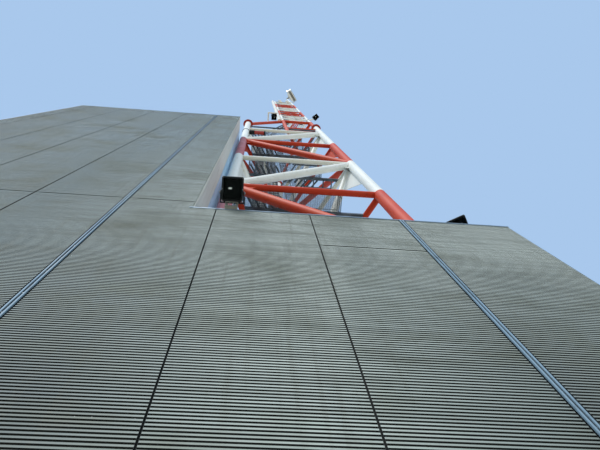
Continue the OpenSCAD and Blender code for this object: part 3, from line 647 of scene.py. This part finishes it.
def wall(name, node, turn, gaps, laps=()):
    """A clad wall, drawn facing -Y and turned about the vertical: ribs over flat sheets, on a dark core.

    Gaps are (place, width) of the joints, and laps (left, right, height) of a lap between two sheets.
    """
    spin = Matrix.Rotation(math.radians(turn), 4, "Z")
    corners = [spin.inverted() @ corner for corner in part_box(node)]
    low, high = Vector(map(min, *corners)), Vector(map(max, *corners))
    inside = sorted(gap for gap in gaps if low.x + gap[1] < gap[0] < high.x - gap[1])
    starts = [low.x] + [x + width / 2 for x, width in inside]
    ends = [x - width / 2 for x, width in inside] + [high.x]
    face = low.y + RIB_DEPTH
    rows = math.floor((high.z - low.z) / RIB_PITCH)
    points, sizes, screws, strips = [], [], [], []
    for a, b in zip(starts, ends):
        for row in range(1, rows):
            z = low.z + (row + 0.5) * RIB_PITCH
            # At a lap a rib is left out, and a black strip lies between the sheets: painted shade for the
            # lap's gap
            if any(left < (a + b) / 2 < right and abs(z - lap) < RIB_PITCH / 2 for left, right, lap in laps):
                strips.append(((a, face - 0.3 * MM, z - 0.3 * MM), (b, face, z + 1.3 * MM)))
                continue
            points.append(((a + b) / 2, face + SINK - (RIB_DEPTH + SINK) / 2, z))
            sizes.append((b - a, 1, 1))
        across = max(2, round((b - a) / SCREW_PITCH) + 1)
        spacing = (b - a - 2 * SCREW_EDGE) / (across - 1)
        for row in range(SCREW_ROWS // 2, rows, SCREW_ROWS):
            screws += [(a + SCREW_EDGE + i * spacing, face, low.z + row * RIB_PITCH) for i in range(across)]
    ribs = made(RIBS, marked_points(points, "size", sizes), Depth=RIB_DEPTH + SINK, Foot=RIB_FOOT,
                Crest=RIB_CREST, Material=RIBBED)
    sheets = blocks([((a, face, low.z), (b, face + SHEET_T, high.z)) for a, b in zip(starts, ends)], RIBBED)
    # The core's near black shows through the joints, partly as painted shade
    core = blocks([((low.x, face + SHEET_T, low.z), (high.x, high.y - SHEET_T, high.z))], BLACK_JOINT_AND_SHADE)
    lining = blocks([((low.x, high.y - SHEET_T, low.z), (high.x, high.y, high.z))], SIDE)
    for edge in [x + side * width / 2 for x, width in inside for side in (-1, 1)]:
        strips.append(((edge - LIP_T / 2, low.y + SINK, low.z), (edge + LIP_T / 2, face + SHEET_T, high.z)))
    base_trim = blocks([((low.x, low.y, low.z), (high.x, face, low.z + RIB_PITCH))], SIDE, 0.3)
    parts = [ribs, sheets, core, lining, blocks(strips, BLACK_JOINT_AND_SHADE), base_trim, bolts(screws, (0, -1, 0), 1.3)]
    piece(name, moved(parts, spin), (node,))


def clad_walls():
    """The six ribbed walls. The sides' joints keep the front's spacing, from the front corner."""
    # The front's joints are counted in panels from the right rail, and two of them hold the rails
    steps, rail_steps = range(-8, 1), (-3, 0)
    front = [(RAIL_RIGHT + i * PANEL, JOINT_W if i > rail_steps[0] else TALL_JOINT_W)
             for i in steps if i not in rail_steps]
    # The gaps round the rails are wider on their outer sides
    front += [(RAIL_LEFT - RAIL_SHIFT, RAIL_GAP), (RAIL_RIGHT + RAIL_SHIFT, RAIL_GAP)]
    rear = [(-RAIL_RIGHT - i * PANEL, JOINT_W) for i in steps]
    depth = [(FRONT_Y + i * PANEL, JOINT_W) for i in range(1, 5)]
    wall("low_front_sheets", "low_front_wall", 0, front, [(RAIL_RIGHT - PANEL, RAIL_RIGHT, LOW_LAP_Z)])
    wall("tall_front_sheets", "tall_front_wall", 0, front, [(LEFT_X, NOTCH_X, TALL_LAP_Z)])
    wall("low_right_sheets", "low_right_wall", 90, depth)
    wall("tall_left_sheets", "tall_left_wall", -90, [(-y, width) for y, width in depth])
    wall("low_rear_sheets", "low_rear_wall", 180, rear)
    wall("tall_rear_sheets", "tall_rear_wall", 180, rear)


def flashings():
    """Folded corners over the ribs' ends: blue grey at the right, zinc at the left, beige at the panel."""
    proud, turn_in = 0.3 * MM, 22 * MM
    corners = []
    for x, side, top, cover, material in ((RIGHT_X, 1, LOW_TOP, 0.8 * MM, COPING),
                                          (LEFT_X, -1, TALL_TOP, 7 * MM, ZINC)):
        folds = [((x - side * cover, y - way * proud, 0), (x + side * proud, y + way * turn_in, top - 8 * MM))
                 for y, way in ((FRONT_Y, 1), (REAR_Y, -1))]
        corners.append(blocks(folds, material, 0.25))
    piece("corner_flashings", corners)
    low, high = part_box("corner_panel")
    beige = ((high.x - 1 * MM, FRONT_Y + 0.2 * MM, low.z), (high.x, FRONT_Y + turn_in - 2 * MM, high.z))
    grey = ((high.x - 7 * MM, REAR_Y + proud, low.z), (high.x, REAR_Y - turn_in, high.z))
    piece("notch_flashings", [blocks([beige], BEIGE, 0.25), blocks([grey], SIDE, 0.25)])


def guide_rails():
    """Two extruded rails in lengths of 600 mm: rounded lips beside a deep slot, with a seal and screws."""
    low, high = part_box("guide_rails")
    deep, screw_pitch = high.y - 0.9 * MM, 80 * MM
    lips, seals, screws = [], [], []
    for x, top in ((RAIL_LEFT, high.z), (RAIL_RIGHT, high.z - TALL_TOP + LOW_TOP)):
        lengths = math.ceil((top - low.z) / (600 * MM))
        step = (top - low.z) / lengths
        for i in range(lengths):
            z, end = low.z + i * step, low.z + (i + 1) * step - (0.5 * MM if i < lengths - 1 else 0)
            for side in (-1, 1):
                lips.append(((x + side * 1.6 * MM, low.y, z), (x + side * RAIL_W / 2, high.y, end)))
            screws += [(x, deep, z + 20 * MM + j * screw_pitch) for j in range(int(step / screw_pitch))]
        lips.append(((x - 4 * MM, high.y - 0.7 * MM, low.z), (x + 4 * MM, high.y, top)))
        seals.append(((x - 2 * MM, high.y - 1.1 * MM, low.z),
                      (x + 2 * MM, high.y - 0.2 * MM, top - 0.5 * MM)))
    parts = [blocks(lips, RAIL, 0.35), blocks(seals, BLACK_JOINT_AND_SHADE), bolts(screws, (0, -1, 0), 1.6)]
    piece("slotted_guide_rails", parts, ("guide_rails",))


COPING_T = 1.5 * MM
COPING_OUT = 3 * MM
FRONT_OUT = 1.5 * MM
COPING_IN = 23 * MM
SKIRT = 5.5 * MM


def coping(x0, x1, y0, y1, top, sides):
    """The corners of a folded coping over a wall's top: a top sheet, with skirts down the named sides."""
    sheet = 1.2 * MM
    skirts = {"front": ((x0, y0), (x1, y0 + sheet)), "rear": ((x0, y1 - sheet), (x1, y1)),
              "left": ((x0, y0 + sheet), (x0 + sheet, y1 - sheet)),
              "right": ((x1 - sheet, y0 + sheet), (x1, y1 - sheet))}
    return [((x0, y0, top), (x1, y1, top + COPING_T))] + [
        ((*low, top - SKIRT), (*high, top)) for low, high in (skirts[side] for side in sides)]


def copings():
    """The copings of both parts, with straps over their joints along the front."""
    left, right, notch = LEFT_X - COPING_OUT, RIGHT_X + FRONT_OUT, NOTCH_X + COPING_OUT
    front, front_in = FRONT_Y - FRONT_OUT, FRONT_Y + COPING_IN
    rear, rear_in = REAR_Y + COPING_OUT, REAR_Y - COPING_IN
    two, three, four = ("left", "right"), ("front", "rear", "right"), ("front", "rear", "right", "left")
    # The low part's coping ends in a plate on the tall part's ribs
    folds = [((NOTCH_X - 7 * MM, front, LOW_TOP - SKIRT), (NOTCH_X, FRONT_Y, LOW_TOP + COPING_T))]
    for y0, y1 in ((front, front_in), (rear_in, rear)):
        folds += coping(NOTCH_X, right, y0, y1, LOW_TOP, three) + coping(left, notch, y0, y1, TALL_TOP, four)
    for x, top in ((right - COPING_IN, LOW_TOP), (left, TALL_TOP), (notch - COPING_IN, TALL_TOP)):
        folds += coping(x, x + COPING_IN, front_in, rear_in, top, two)
    straps = []
    for x in (RAIL_RIGHT + i * PANEL for i in range(-7, 2)):
        top = LOW_TOP if x > NOTCH_X else TALL_TOP
        straps.append(((x - 5 * MM, front - 0.3 * MM, top - SKIRT - 0.3 * MM),
                       (x + 5 * MM, front_in - 1 * MM, top + COPING_T + 0.3 * MM)))
    parts = [blocks(folds, COPING, 0.25), blocks(straps, COPING, 0.25)]
    piece("folded_copings", parts, ("copings",))


clad_walls()
flashings()
guide_rails()
copings()


# Floodlights and the obstruction light


def floodlight(place):
    """A floodlight in its yoke: glass down at its height 0, fins up, back of the yoke's bar at its Y 0."""
    wide, long, back = 54, 62, 37
    housing = [rounded(wide - inset, long - inset, radius, height) for inset, radius, height in (
        (14, 3, 8), (8, 2, 1), (8, 2, 0.3), (7, 2.4, 0), (1, 3, 0), (0, 3.4, 0.6), (0, 3.4, 3.2), (2, 3, 4),
        (4, 5, 10), (12, 6, 14.4))]
    fins = [((x - 0.7, -0.39 * long, 9), (x + 0.7, 0.39 * long, 24)) for x in (4.8 * i for i in range(-4, 5))]
    glass = [rounded(wide - 8, long - 8, 2, height) for height in (0.9, 1.5)]
    # The bulb glows though the lamp is off: a painted glint behind the glass
    bulb = tubes([placed([(-10, -1, 4.6), (-1.6, -1, 4.6)])], 4.2, GLOWING_GLINT_BULB, 12)
    case = [loft(housing, LAMP), blocks(in_mm(fins), LAMP, 0.3), loft(glass, GLASS), bulb]
    moved(case, Matrix.Translation((0, -back * MM, 0)))
    pivot_y = long / 6 - back
    yoke = [((-30, -3, 3), (30, 0, 12)), ((-21, -9, 2), (21, -2, 11))]
    yoke += [((side * 27.2, pivot_y - 5, 3), (side * 30, -1, 12)) for side in (-1, 1)]
    hubs = [bolts(placed([(side * 30.2, pivot_y, 7.5)]), (side, 0, 0), 5) for side in (-1, 1)]
    frame_bolts = placed([(x * 25, y * 29 - back, -0.1) for x in (-1, 1) for y in (-1, 0, 1)])
    return moved(case + [blocks(in_mm(yoke), LAMP, 0.5), *hubs, bolts(frame_bolts, (0, 0, -1), 1.6)], place)


def turned_at(x, y, z, angle):
    """A place in millimetres, turned about the vertical."""
    return Matrix.Translation((x * MM, y * MM, z * MM)) @ Matrix.Rotation(math.radians(angle), 4, "Z")


def parapet_lamps():
    """Two floodlights on the parapet: the left one hangs out over the front, the right one is behind it."""
    glass_z = 1806.5
    left = turned_at(-280, FRONT_Y / MM - 8, glass_z, 0)
    right_foot = turned_at(294, FRONT_Y / MM + 10, glass_z, -28)
    right = right_foot @ Matrix.Translation((0, 50 * MM, 0))
    sole, top = (LOW_TOP + COPING_T) / MM - glass_z, 12
    # Slotted left bracket: a foot on the coping, an upright, and an open frame under the lamp
    bracket = [((-16, 2, sole), (16, 28, sole + 3)), ((-16, -1, sole), (-9, 2, top)),
               ((9, -1, sole), (16, 2, top)), ((-9, -1, sole), (9, 2, sole + 8))]
    bracket += [((-16, y, -7), (16, y + 1.6, -4)) for y in (-6.4, 3)]
    bracket += [((x, -6.4, -7), (x + 1.6, 4, -4)) for x in (-16, -5.2, 3.6, 14.4)]
    left_bolts = placed([(x, 20, sole + 3.5) for x in (-10, 0, 10)])
    left_bracket = [blocks(in_mm(bracket), FRESH_ZINC, 0.3), bolts(left_bolts, (0, 0, 1), 4)]
    strap = [((-8, -10, sole), (8, 52, sole + 3)), ((-8, 49, sole), (8, 52, top))]
    right_bolts = placed([(x, 0, sole + 3.5) for x in (-4, 4)])
    right_bracket = [blocks(in_mm(strap), ZINC, 0.3), bolts(right_bolts, (0, 0, 1), 4)]
    parts = floodlight(left) + floodlight(right)
    parts += moved(left_bracket, left) + moved(right_bracket, right_foot)
    # Supply cables, from each housing's gland down to the coping
    lead = [(6, -7, 10), (6, 1, 12), (7, 7, 6), (8, 9, -8), (8, 12, -24), (8, 20, -32)]
    parts.append(tubes([placed(lead, place) for place in (left, right)], 2.2, CABLE_BLACK))
    piece("parapet_floodlights", parts, ("parapet_lamps",))


def mast_lamps():
    """Two floodlights on white tube outriggers: on the long strut, and on the upper mast's right leg."""
    left, right = turned_at(-73.8, -666.4, 7409, 180), turned_at(394.8, -602.8, 7989.5, 45)
    foot, knee, elbow, tip = placed([(-135.8, -579.4, 7213), (-135.8, -579.4, 7416.5),
                                     (-135.8, -671.4, 7416.5), (-46.8, -671.4, 7416.5)])
    right_foot, right_tip = placed([(334.5, -579.4, 7997), (395, -603.2, 7997)])
    arms = tubes([[foot, knee], [knee, elbow], [elbow, tip], [right_foot, right_tip]], 14, WHITE, 16)
    ball = [(0.1, -7.6), (4, -7), (7, -3.5), (7.6, 0), (7, 3.5), (4, 7), (0.1, 7.6)]
    joints = []
    for spot in (knee, elbow, tip):
        joints += moved([turned(ball, WHITE, steps=20)], Matrix.Translation(spot))
    clamp = turned([(14.5, -7), (16, -6), (16, 6), (14.5, 7), (12.8, 7), (12.8, -7)], ZINC, True)
    moved([clamp], Matrix.Translation(right_foot))
    leads = [placed([(6, -7, 10), (4, 2, 10), (0, 6, 12)], right) + [right_foot + Vector((12, -2, 8)) * MM],
             placed([(6, -7, 10), (6, 4, 15), (30, 5, 13.4), (62, 5, 13.4)], left)]
    parts = floodlight(left) + floodlight(right) + [arms, clamp, tubes(leads, 2.4, CABLE_BLACK)] + joints
    piece("mast_floodlights", parts, ("mast_lamps",))


def obstruction_light():
    """A red light on its side: prism glass between black end caps, on an arm clamped to the left leg."""
    centre = Vector((0, FACE_Y, middle("obstruction_light").z))
    glass = [(11, -262.5)] + [(16.4 if i % 2 else 14.9, -262 + i * 5.06) for i in range(17)] + [(11, -180.5)]
    parts = [turned(glass, BEACON)]
    for outer, inner, way in ((-274.5, -262, 1), (-168.5, -181, -1)):
        cap = [(17.5, outer), (19.5, outer + way * 1.5), (19.5, inner - way * 2), (18, inner), (14, inner)]
        parts.append(turned(cap, LAMP))
    moved(parts, Matrix.Translation(centre) @ Matrix.Rotation(math.radians(90), 4, "Y"))
    leg_r = LEG_D / 2 / MM
    band = turned([(leg_r + 0.3, -6), (leg_r + 3.6, -6), (leg_r + 3.6, 6), (leg_r + 0.3, 6)], ZINC, True)
    moved([band], Matrix.Translation((LEG_LEFT.x, FACE_Y, centre.z)))
    leg_side = LEG_LEFT.x / MM + leg_r
    arm = [((leg_side, -6, -6), (-276, -3.5, 6)), ((leg_side, -6, -6), (-276, 6, -3.5)),
           ((-278, -10, -10), (-274, 10, 10))]
    ring = placed([(-168.3, 12 * math.cos(a), 12 * math.sin(a)) for a in (math.pi * i / 3 for i in range(6))])
    held = [blocks(in_mm([((-304, -18, -18), (-270, 18, 18))]), LAMP, 2.5), blocks(in_mm(arm), ZINC, 0.4),
            bolts(ring, (1, 0, 0), 3)]
    lead = placed([(-276, -570, 5926), (-290, -566, 5921), (-304, -556, 5905), (-316, -549, 5880),
                   (-317, -548, 5700)])
    parts += moved(held, Matrix.Translation(centre)) + [band, tubes([lead], 2.4, CABLE_BLACK)]
    piece("red_obstruction_light", parts, ("obstruction_light",))


parapet_lamps()
mast_lamps()
obstruction_light()


# Inner steelwork and cables


def gratings():
    """Press-welded gratings: bearing bars along X, cross rods and a flat frame."""
    pitch, bar_t, rod_pitch, rod_t, frame_t = 2.5 * MM, 0.7 * MM, 10 * MM, 0.8 * MM, 1.4 * MM
    low, high = WALK_LOW, WALK_HIGH
    thick = high.z - (BAYS - 2) * BAY - low.z
    # The top grating leaves this much room round the upper mast's left leg
    room = 21 * MM
    spans, frames = [], []
    for level in range(BAYS - 1):
        z, at_leg = low.z + level * BAY, level == BAYS - 2
        for i in range(1, math.floor((high.y - low.y) / pitch)):
            y = low.y + i * pitch
            ends = [(low.x, high.x)]
            if at_leg and y - FACE_Y < room:
                ends = [(low.x, UPPER_LEFT.x - room), (UPPER_LEFT.x + room, high.x)]
            spans += [((a, y, z), (b, y + bar_t, z + thick - 0.4 * MM)) for a, b in ends]
        for i in range(1, math.floor((high.x - low.x) / rod_pitch)):
            x = low.x + i * rod_pitch
            y = FACE_Y + room if at_leg and abs(x - UPPER_LEFT.x) < room else low.y
            spans.append(((x, y, z + thick - 1 * MM), (x + rod_t, high.y, z + thick - 0.1 * MM)))
        for y in (low.y, high.y - frame_t):
            if y > FACE_Y or not at_leg:
                frames.append(((low.x, y, z), (high.x, y + frame_t, z + thick)))
        frames += [((x, low.y, z), (x + frame_t, high.y, z + thick)) for x in (low.x, high.x - frame_t)]
    piece("walkway_gratings", [bars(spans, GRATING), blocks(frames, GRATING)], ("walkways",))


def inner_framing():
    """Steelwork behind and under the gratings: joists, a second beam on ties, slanted slats and landings."""
    face, back = FACE_Y / MM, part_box("cross_beams")[1].y / MM
    second_y = back + 47
    right_end = LEG_RIGHT.x / MM * second_y / face - 16
    joists, slats, beams, landings = [], [], [], []
    for level in range(BAYS - 1):
        z = (WALK_LOW.z + level * BAY) / MM
        # Joists under the grating lie along the left side's direction
        for x in range(-262, -100, 30):
            joists.append(placed([(x, face + 36, z - 4), (x + 37, face + 100, z - 4)]))
        beams.append(((62, second_y - 5, z - 16), (right_end, second_y + 5, z)))
        beams += [((x, back - 2, z - 12), (x + 7, second_y, z - 2)) for x in (62, 118, 176, 226)]
        for x in range(-36, 150, 30):
            reach = 1.0 if x > 30 else 0.42
            slats.append(placed([(x, back + 2, z - 6), (x - 39 * reach, back + 2 + 51 * reach, z - 6)]))
        for y in (back + 1 + 2.6 * i for i in range(18)):
            landings.append(((-8 if y > -442 else -60, y, z), (62, y + 1, z + 4)))
    parts = [tubes(joists, 10, ZINC), tubes(slats, 11, ZINC), blocks(in_mm(beams), ZINC, 0.6)]
    piece("inner_framing", parts + [bars(in_mm(landings), GRATING)])


def handrails():
    """Tube handrails, knee rails and toe plates at the walkways' right half and both ends."""
    rail_z, knee_z = 110 * MM, 55 * MM
    left, right, turn = WALK_LOW.x + 3 * MM, WALK_HIGH.x - 3 * MM, CLIMB_RIGHT + 10 * MM
    front, inner = FACE_Y + LEG_D / 2, WALK_HIGH.y - 3 * MM
    left_posts = [(left, front), (left, inner)]
    right_posts = [(right, front), (right, inner), (turn, inner)]
    rails, plates = [], []
    for level in range(BAYS - 1):
        foot = WALK_LOW.z + level * BAY + 3 * MM
        rails += [[Vector((x, y, foot + z)) for x, y in posts]
                  for z in (knee_z, rail_z) for posts in (right_posts, left_posts)]
        for x, y in left_posts + right_posts + [((turn + right) / 2, inner)]:
            rails.append([Vector((x, y, foot)), Vector((x, y, foot + rail_z))])
        plates.append(((turn, inner + 2 * MM, foot), (right, inner + 2.8 * MM, foot + 10 * MM)))
    piece("handrails", [tubes(rails, 3.6, ZINC), blocks(plates, ZINC, 0.2)])


def cables():
    """Feeders clipped behind the two cable ladders, some of them led on up the upper mast."""
    dice = random.Random(11)
    tray_pitch, lanes = 80 * MM, 7
    behind, clip_y = LADDER_LOW.y + 7.8 * MM, LADDER_LOW.y + 10.4 * MM
    bend_y, up_y, top_z = LADDER_LOW.y + 1 * MM, FACE_Y + 14 * MM, LADDER_HIGH.z
    runs = {CABLE_BLACK: [], CABLE_GREY: []}
    clips = []
    for tray in range(2):
        x0 = LADDER_LOW.x + tray * tray_pitch
        for i in range(lanes):
            x, lane = x0 + (9 + 7 * i) * MM, tray * lanes + i
            path = [Vector((x + dice.uniform(-0.7, 0.7) * MM, behind, LADDER_LOW.z + j * 420 * MM))
                    for j in range(12)]
            path.append(Vector((x, behind, top_z - 40 * MM)))
            # Every other feeder bends over to the upper mast's front side
            if lane % 2:
                up_x = UPPER_LEFT.x + (24 + lane * 3) * MM
                path += [Vector((x + 20 * MM, bend_y, top_z + 60 * MM)),
                         Vector(((x + up_x) / 2, bend_y - 46 * MM, top_z + 420 * MM)),
                         Vector((up_x, up_y + 6 * MM, UPPER_LOW.z - 20 * MM)),
                         Vector((up_x, up_y, UPPER_LOW.z + 80 * MM)),
                         Vector((up_x, up_y, UPPER_HIGH.z - 120 * MM * (lane % 3)))]
            runs[CABLE_GREY if lane in (2, 5, 9, 12) else CABLE_BLACK].append(path)
        for z in (LADDER_LOW.z + rise * MM for rise in range(60, 5000, 120)):
            clips.append(((x0 + 5 * MM, clip_y, z), (x0 + 55 * MM, clip_y + 1 * MM, z + 4 * MM)))
    parts = [tubes(paths, 5, material) for material, paths in runs.items()]
    piece("feeder_cables", parts + [bars(clips, ZINC)])


def upper_ladder():
    """A narrow climbing ladder up the upper mast's front side, a little right of its middle."""
    x, half = (UPPER_LEFT.x + UPPER_RIGHT.x) / 2 + 40 * MM, 18 * MM
    y, z, pitch = FACE_Y + 12 * MM, UPPER_LOW.z - 200 * MM, 30 * MM
    sides = [((x + side * half - 1 * MM, y, z), (x + side * half + 1 * MM, y + 4 * MM, UPPER_HIGH.z))
             for side in (-1, 1)]
    rungs = [((x - half, y + 1 * MM, z + i * pitch), (x + half, y + 3 * MM, z + i * pitch + 2 * MM))
             for i in range(1, math.floor((UPPER_HIGH.z - z) / pitch))]
    piece("upper_ladder", [blocks(sides, ZINC), bars(rungs, ZINC)])


def head_rails():
    """A two-rail guard round the head platform."""
    floor_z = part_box("head_platform")[1].z
    corners = [UPPER_LEFT.xy, UPPER_RIGHT.xy, UPPER_REAR.xy]
    centre = (corners[0] + corners[1] + corners[2]) / 3
    ring = [centre + (corner - centre) * 1.02 for corner in corners]
    rails = [[Vector((*spot, floor_z + height)) for spot in ring] for height in (50 * MM, 100 * MM)]
    spots = [a.lerp(b, i / 4) for a, b in zip(ring, ring[1:] + ring[:1]) for i in range(4)]
    posts = [[Vector((*spot, floor_z - 1 * MM)), Vector((*spot, floor_z + 100 * MM))] for spot in spots]
    piece("head_guard_rails", [tubes(rails, 3.6, ZINC, closed=True), tubes(posts, 3.6, ZINC)])


def drum_details():
    """The drum's waveguide down the pole, its rims in painted highlight, the ring that holds its cover, and
    its bolts.
    """
    turn = turned_at(POLE.x / MM, POLE.y / MM, middle("drum_antenna").z / MM, -35)
    lying = turn @ Matrix.Rotation(math.radians(90), 4, "Y")
    # The rims lie round the shroud, at its back edge and near its front; their near-white zinc is a painted
    # highlight
    rings = [turned([(143.2, back), (outer, back), (outer, front), (143.2, front)], PAINTED_HIGHLIGHT_ZINC, True, 64)
             for back, front, outer in ((70, 100, 156), (148, 162, 149))]
    rings.append(turned([(134, 167.2), (136, 168.4), (138, 168.4), (140, 167.2)], DRUM, True, 64))
    angles = [math.pi * i / 8 for i in range(16)]
    spots = placed([(137 * math.cos(a), 137 * math.sin(a), 168.6) for a in angles], lying)
    guide = placed([(44, 0, -12), (36, 4, -30), (20, 10, -44), (2, 13, -60), (0, 13.4, -400),
                    (0, 13.4, -2180)], turn)
    clamps = bolts(spots, turn.to_3x3() @ Vector((1, 0, 0)), 3)
    piece("drum_fittings", moved(rings, lying) + [clamps, tubes([guide], 5, CABLE_BLACK, 10)])


def leg_collars():
    """Rubber collars with steel bands, where the legs pass through the low roof."""
    roof, leg_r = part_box("low_roof")[1].z, LEG_D / 2 / MM
    skirt = [(leg_r + r, z) for r, z in ((16, 0), (17, 1), (6, 8), (3.4, 34), (0.3, 36), (0.3, 0))]
    band = [(leg_r + r, z) for r, z in ((4.6, 24), (5.2, 25), (5.2, 30), (4.6, 31), (3, 31), (3, 24))]
    parts = []
    for leg in (LEG_LEFT, LEG_RIGHT, LEG_REAR):
        collar = [turned(skirt, CABLE_BLACK, True), turned(band, ZINC, True)]
        parts += moved(collar, Matrix.Translation((leg.x, leg.y, roof)))
    piece("leg_collars", parts)


def anchor_nuts():
    """Nuts on the foot flanges' anchor circle."""
    z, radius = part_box("leg_feet")[1].z + 0.5 * MM, 32.5 * MM
    spots = [(leg.x + radius * math.cos(a), leg.y + radius * math.sin(a), z)
             for leg in (LEG_LEFT, LEG_RIGHT, LEG_REAR) for a in (math.pi * i / 6 for i in range(12))]
    piece("anchor_nuts", [bolts(spots, (0, 0, 1), 4.6)])


gratings()
inner_framing()
handrails()
cables()
upper_ladder()
head_rails()
drum_details()
leg_collars()
anchor_nuts()


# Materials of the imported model's own nodes

FINISH = {
    "low_roof": FELT, "tall_roof": FELT, "tall_right_wall": SIDE, "side_cladding": SIDE,
    "corner_panel": BEIGE, "copings": COPING, "guide_rails": RAIL, "leg_feet": RED, "leg_left_red": SHADED_LEFT_LEG_RED,
    "leg_caps": CAP, "upper_frame": RED, "top_ring": ZINC, "cross_beams": ZINC, "cable_ladders": ZINC,
    "climbing_ladder": ZINC, "walkways": GRATING, "head_platform": GRATING, "top_pole": WHITE,
    "drum_antenna": DRUM, "column_antenna": RADOME, "panel_antennas": RADOME, "parapet_lamps": LAMP,
    "mast_lamps": LAMP, "obstruction_light": BEACON,
}
ENDINGS = {"wall": RIBBED, "white": WHITE, "red": RED}
for name, node in nodes.items():
    node.data.materials.clear()
    node.data.materials.append(FINISH[name] if name in FINISH else ENDINGS[name.split("_")[-1]])


# Stage, light and camera

FLOOR_R = 90.0


def floor():
    """A wide pale disc just under the feet."""
    bm = bmesh.new()
    bmesh.ops.create_circle(bm, cap_ends=True, segments=96, radius=FLOOR_R,
                            matrix=Matrix.Translation((0, 0, -0.5 * MM)))
    mesh = bpy.data.meshes.new("floor")
    bm.to_mesh(mesh)
    bm.free()
    material, tree, coords = start("matt_studio_floor", Roughness=0.9, Specular_IOR_Level=0.1)
    mesh.materials.append(coated(material, mottled(tree, coords, "#cfcabf", "#c8c3b8", 2000, 0.5)))
    obj = bpy.data.objects.new("floor", mesh)
    bpy.context.scene.collection.objects.link(obj)


def daylight():
    """Plain soft light: an even sky, and a wide lamp from the front, high up."""
    world = bpy.data.worlds.new("sky")
    bpy.context.scene.world = world
    world.use_nodes = True
    tree = world.node_tree
    # The sky is a little deeper where it is seen than in the light that it sheds
    seen = add(tree, "ShaderNodeLightPath").outputs
    shown = seen["Is Camera Ray"]
    for ray in ("Is Glossy Ray", "Is Transmission Ray"):
        shown = add(tree, "ShaderNodeMath", {0: shown, 1: seen[ray]}, operation="MAXIMUM").outputs[0]
    colour = add(tree, "ShaderNodeMix", {0: shown, 6: "#d6e4f0", 7: "#a9c8ec"}, data_type="RGBA").outputs[2]
    strength = add(tree, "ShaderNodeMapRange", {"Value": shown, "To Min": 0.96, "To Max": 1.0}).outputs[0]
    sky = tree.nodes["Background"]
    tree.links.new(colour, sky.inputs["Color"])
    tree.links.new(strength, sky.inputs["Strength"])
    lamp = bpy.data.lights.new("wide_lamp", "SUN")
    lamp.energy = 2.0
    lamp.angle = math.radians(14)
    lamp.color = (1.0, 0.98, 0.94)
    obj = bpy.data.objects.new("wide_lamp", lamp)
    obj.rotation_euler = Vector((0.3, 0.64, -0.7)).to_track_quat("-Z", "Y").to_euler()
    bpy.context.scene.collection.objects.link(obj)


def camera():
    """At the foot of the front, looking almost straight up, as the photograph does."""
    data = bpy.data.cameras.new("camera")
    data.sensor_width = 36
    data.lens = 40.33
    data.clip_start, data.clip_end = 0.01, 200
    obj = bpy.data.objects.new("camera", data)
    right, up = Vector((0.9957, -0.0745, -0.0542)), Vector((-0.0609, -0.9737, 0.2194))
    turn = Matrix((right, up, right.cross(up))).transposed().to_4x4()
    obj.matrix_world = Matrix.Translation((-0.2233, -1.0724, 0.160)) @ turn
    bpy.context.scene.collection.objects.link(obj)
    bpy.context.scene.camera = obj


floor()
daylight()
camera()
bpy.context.scene.view_settings.view_transform = "Standard"
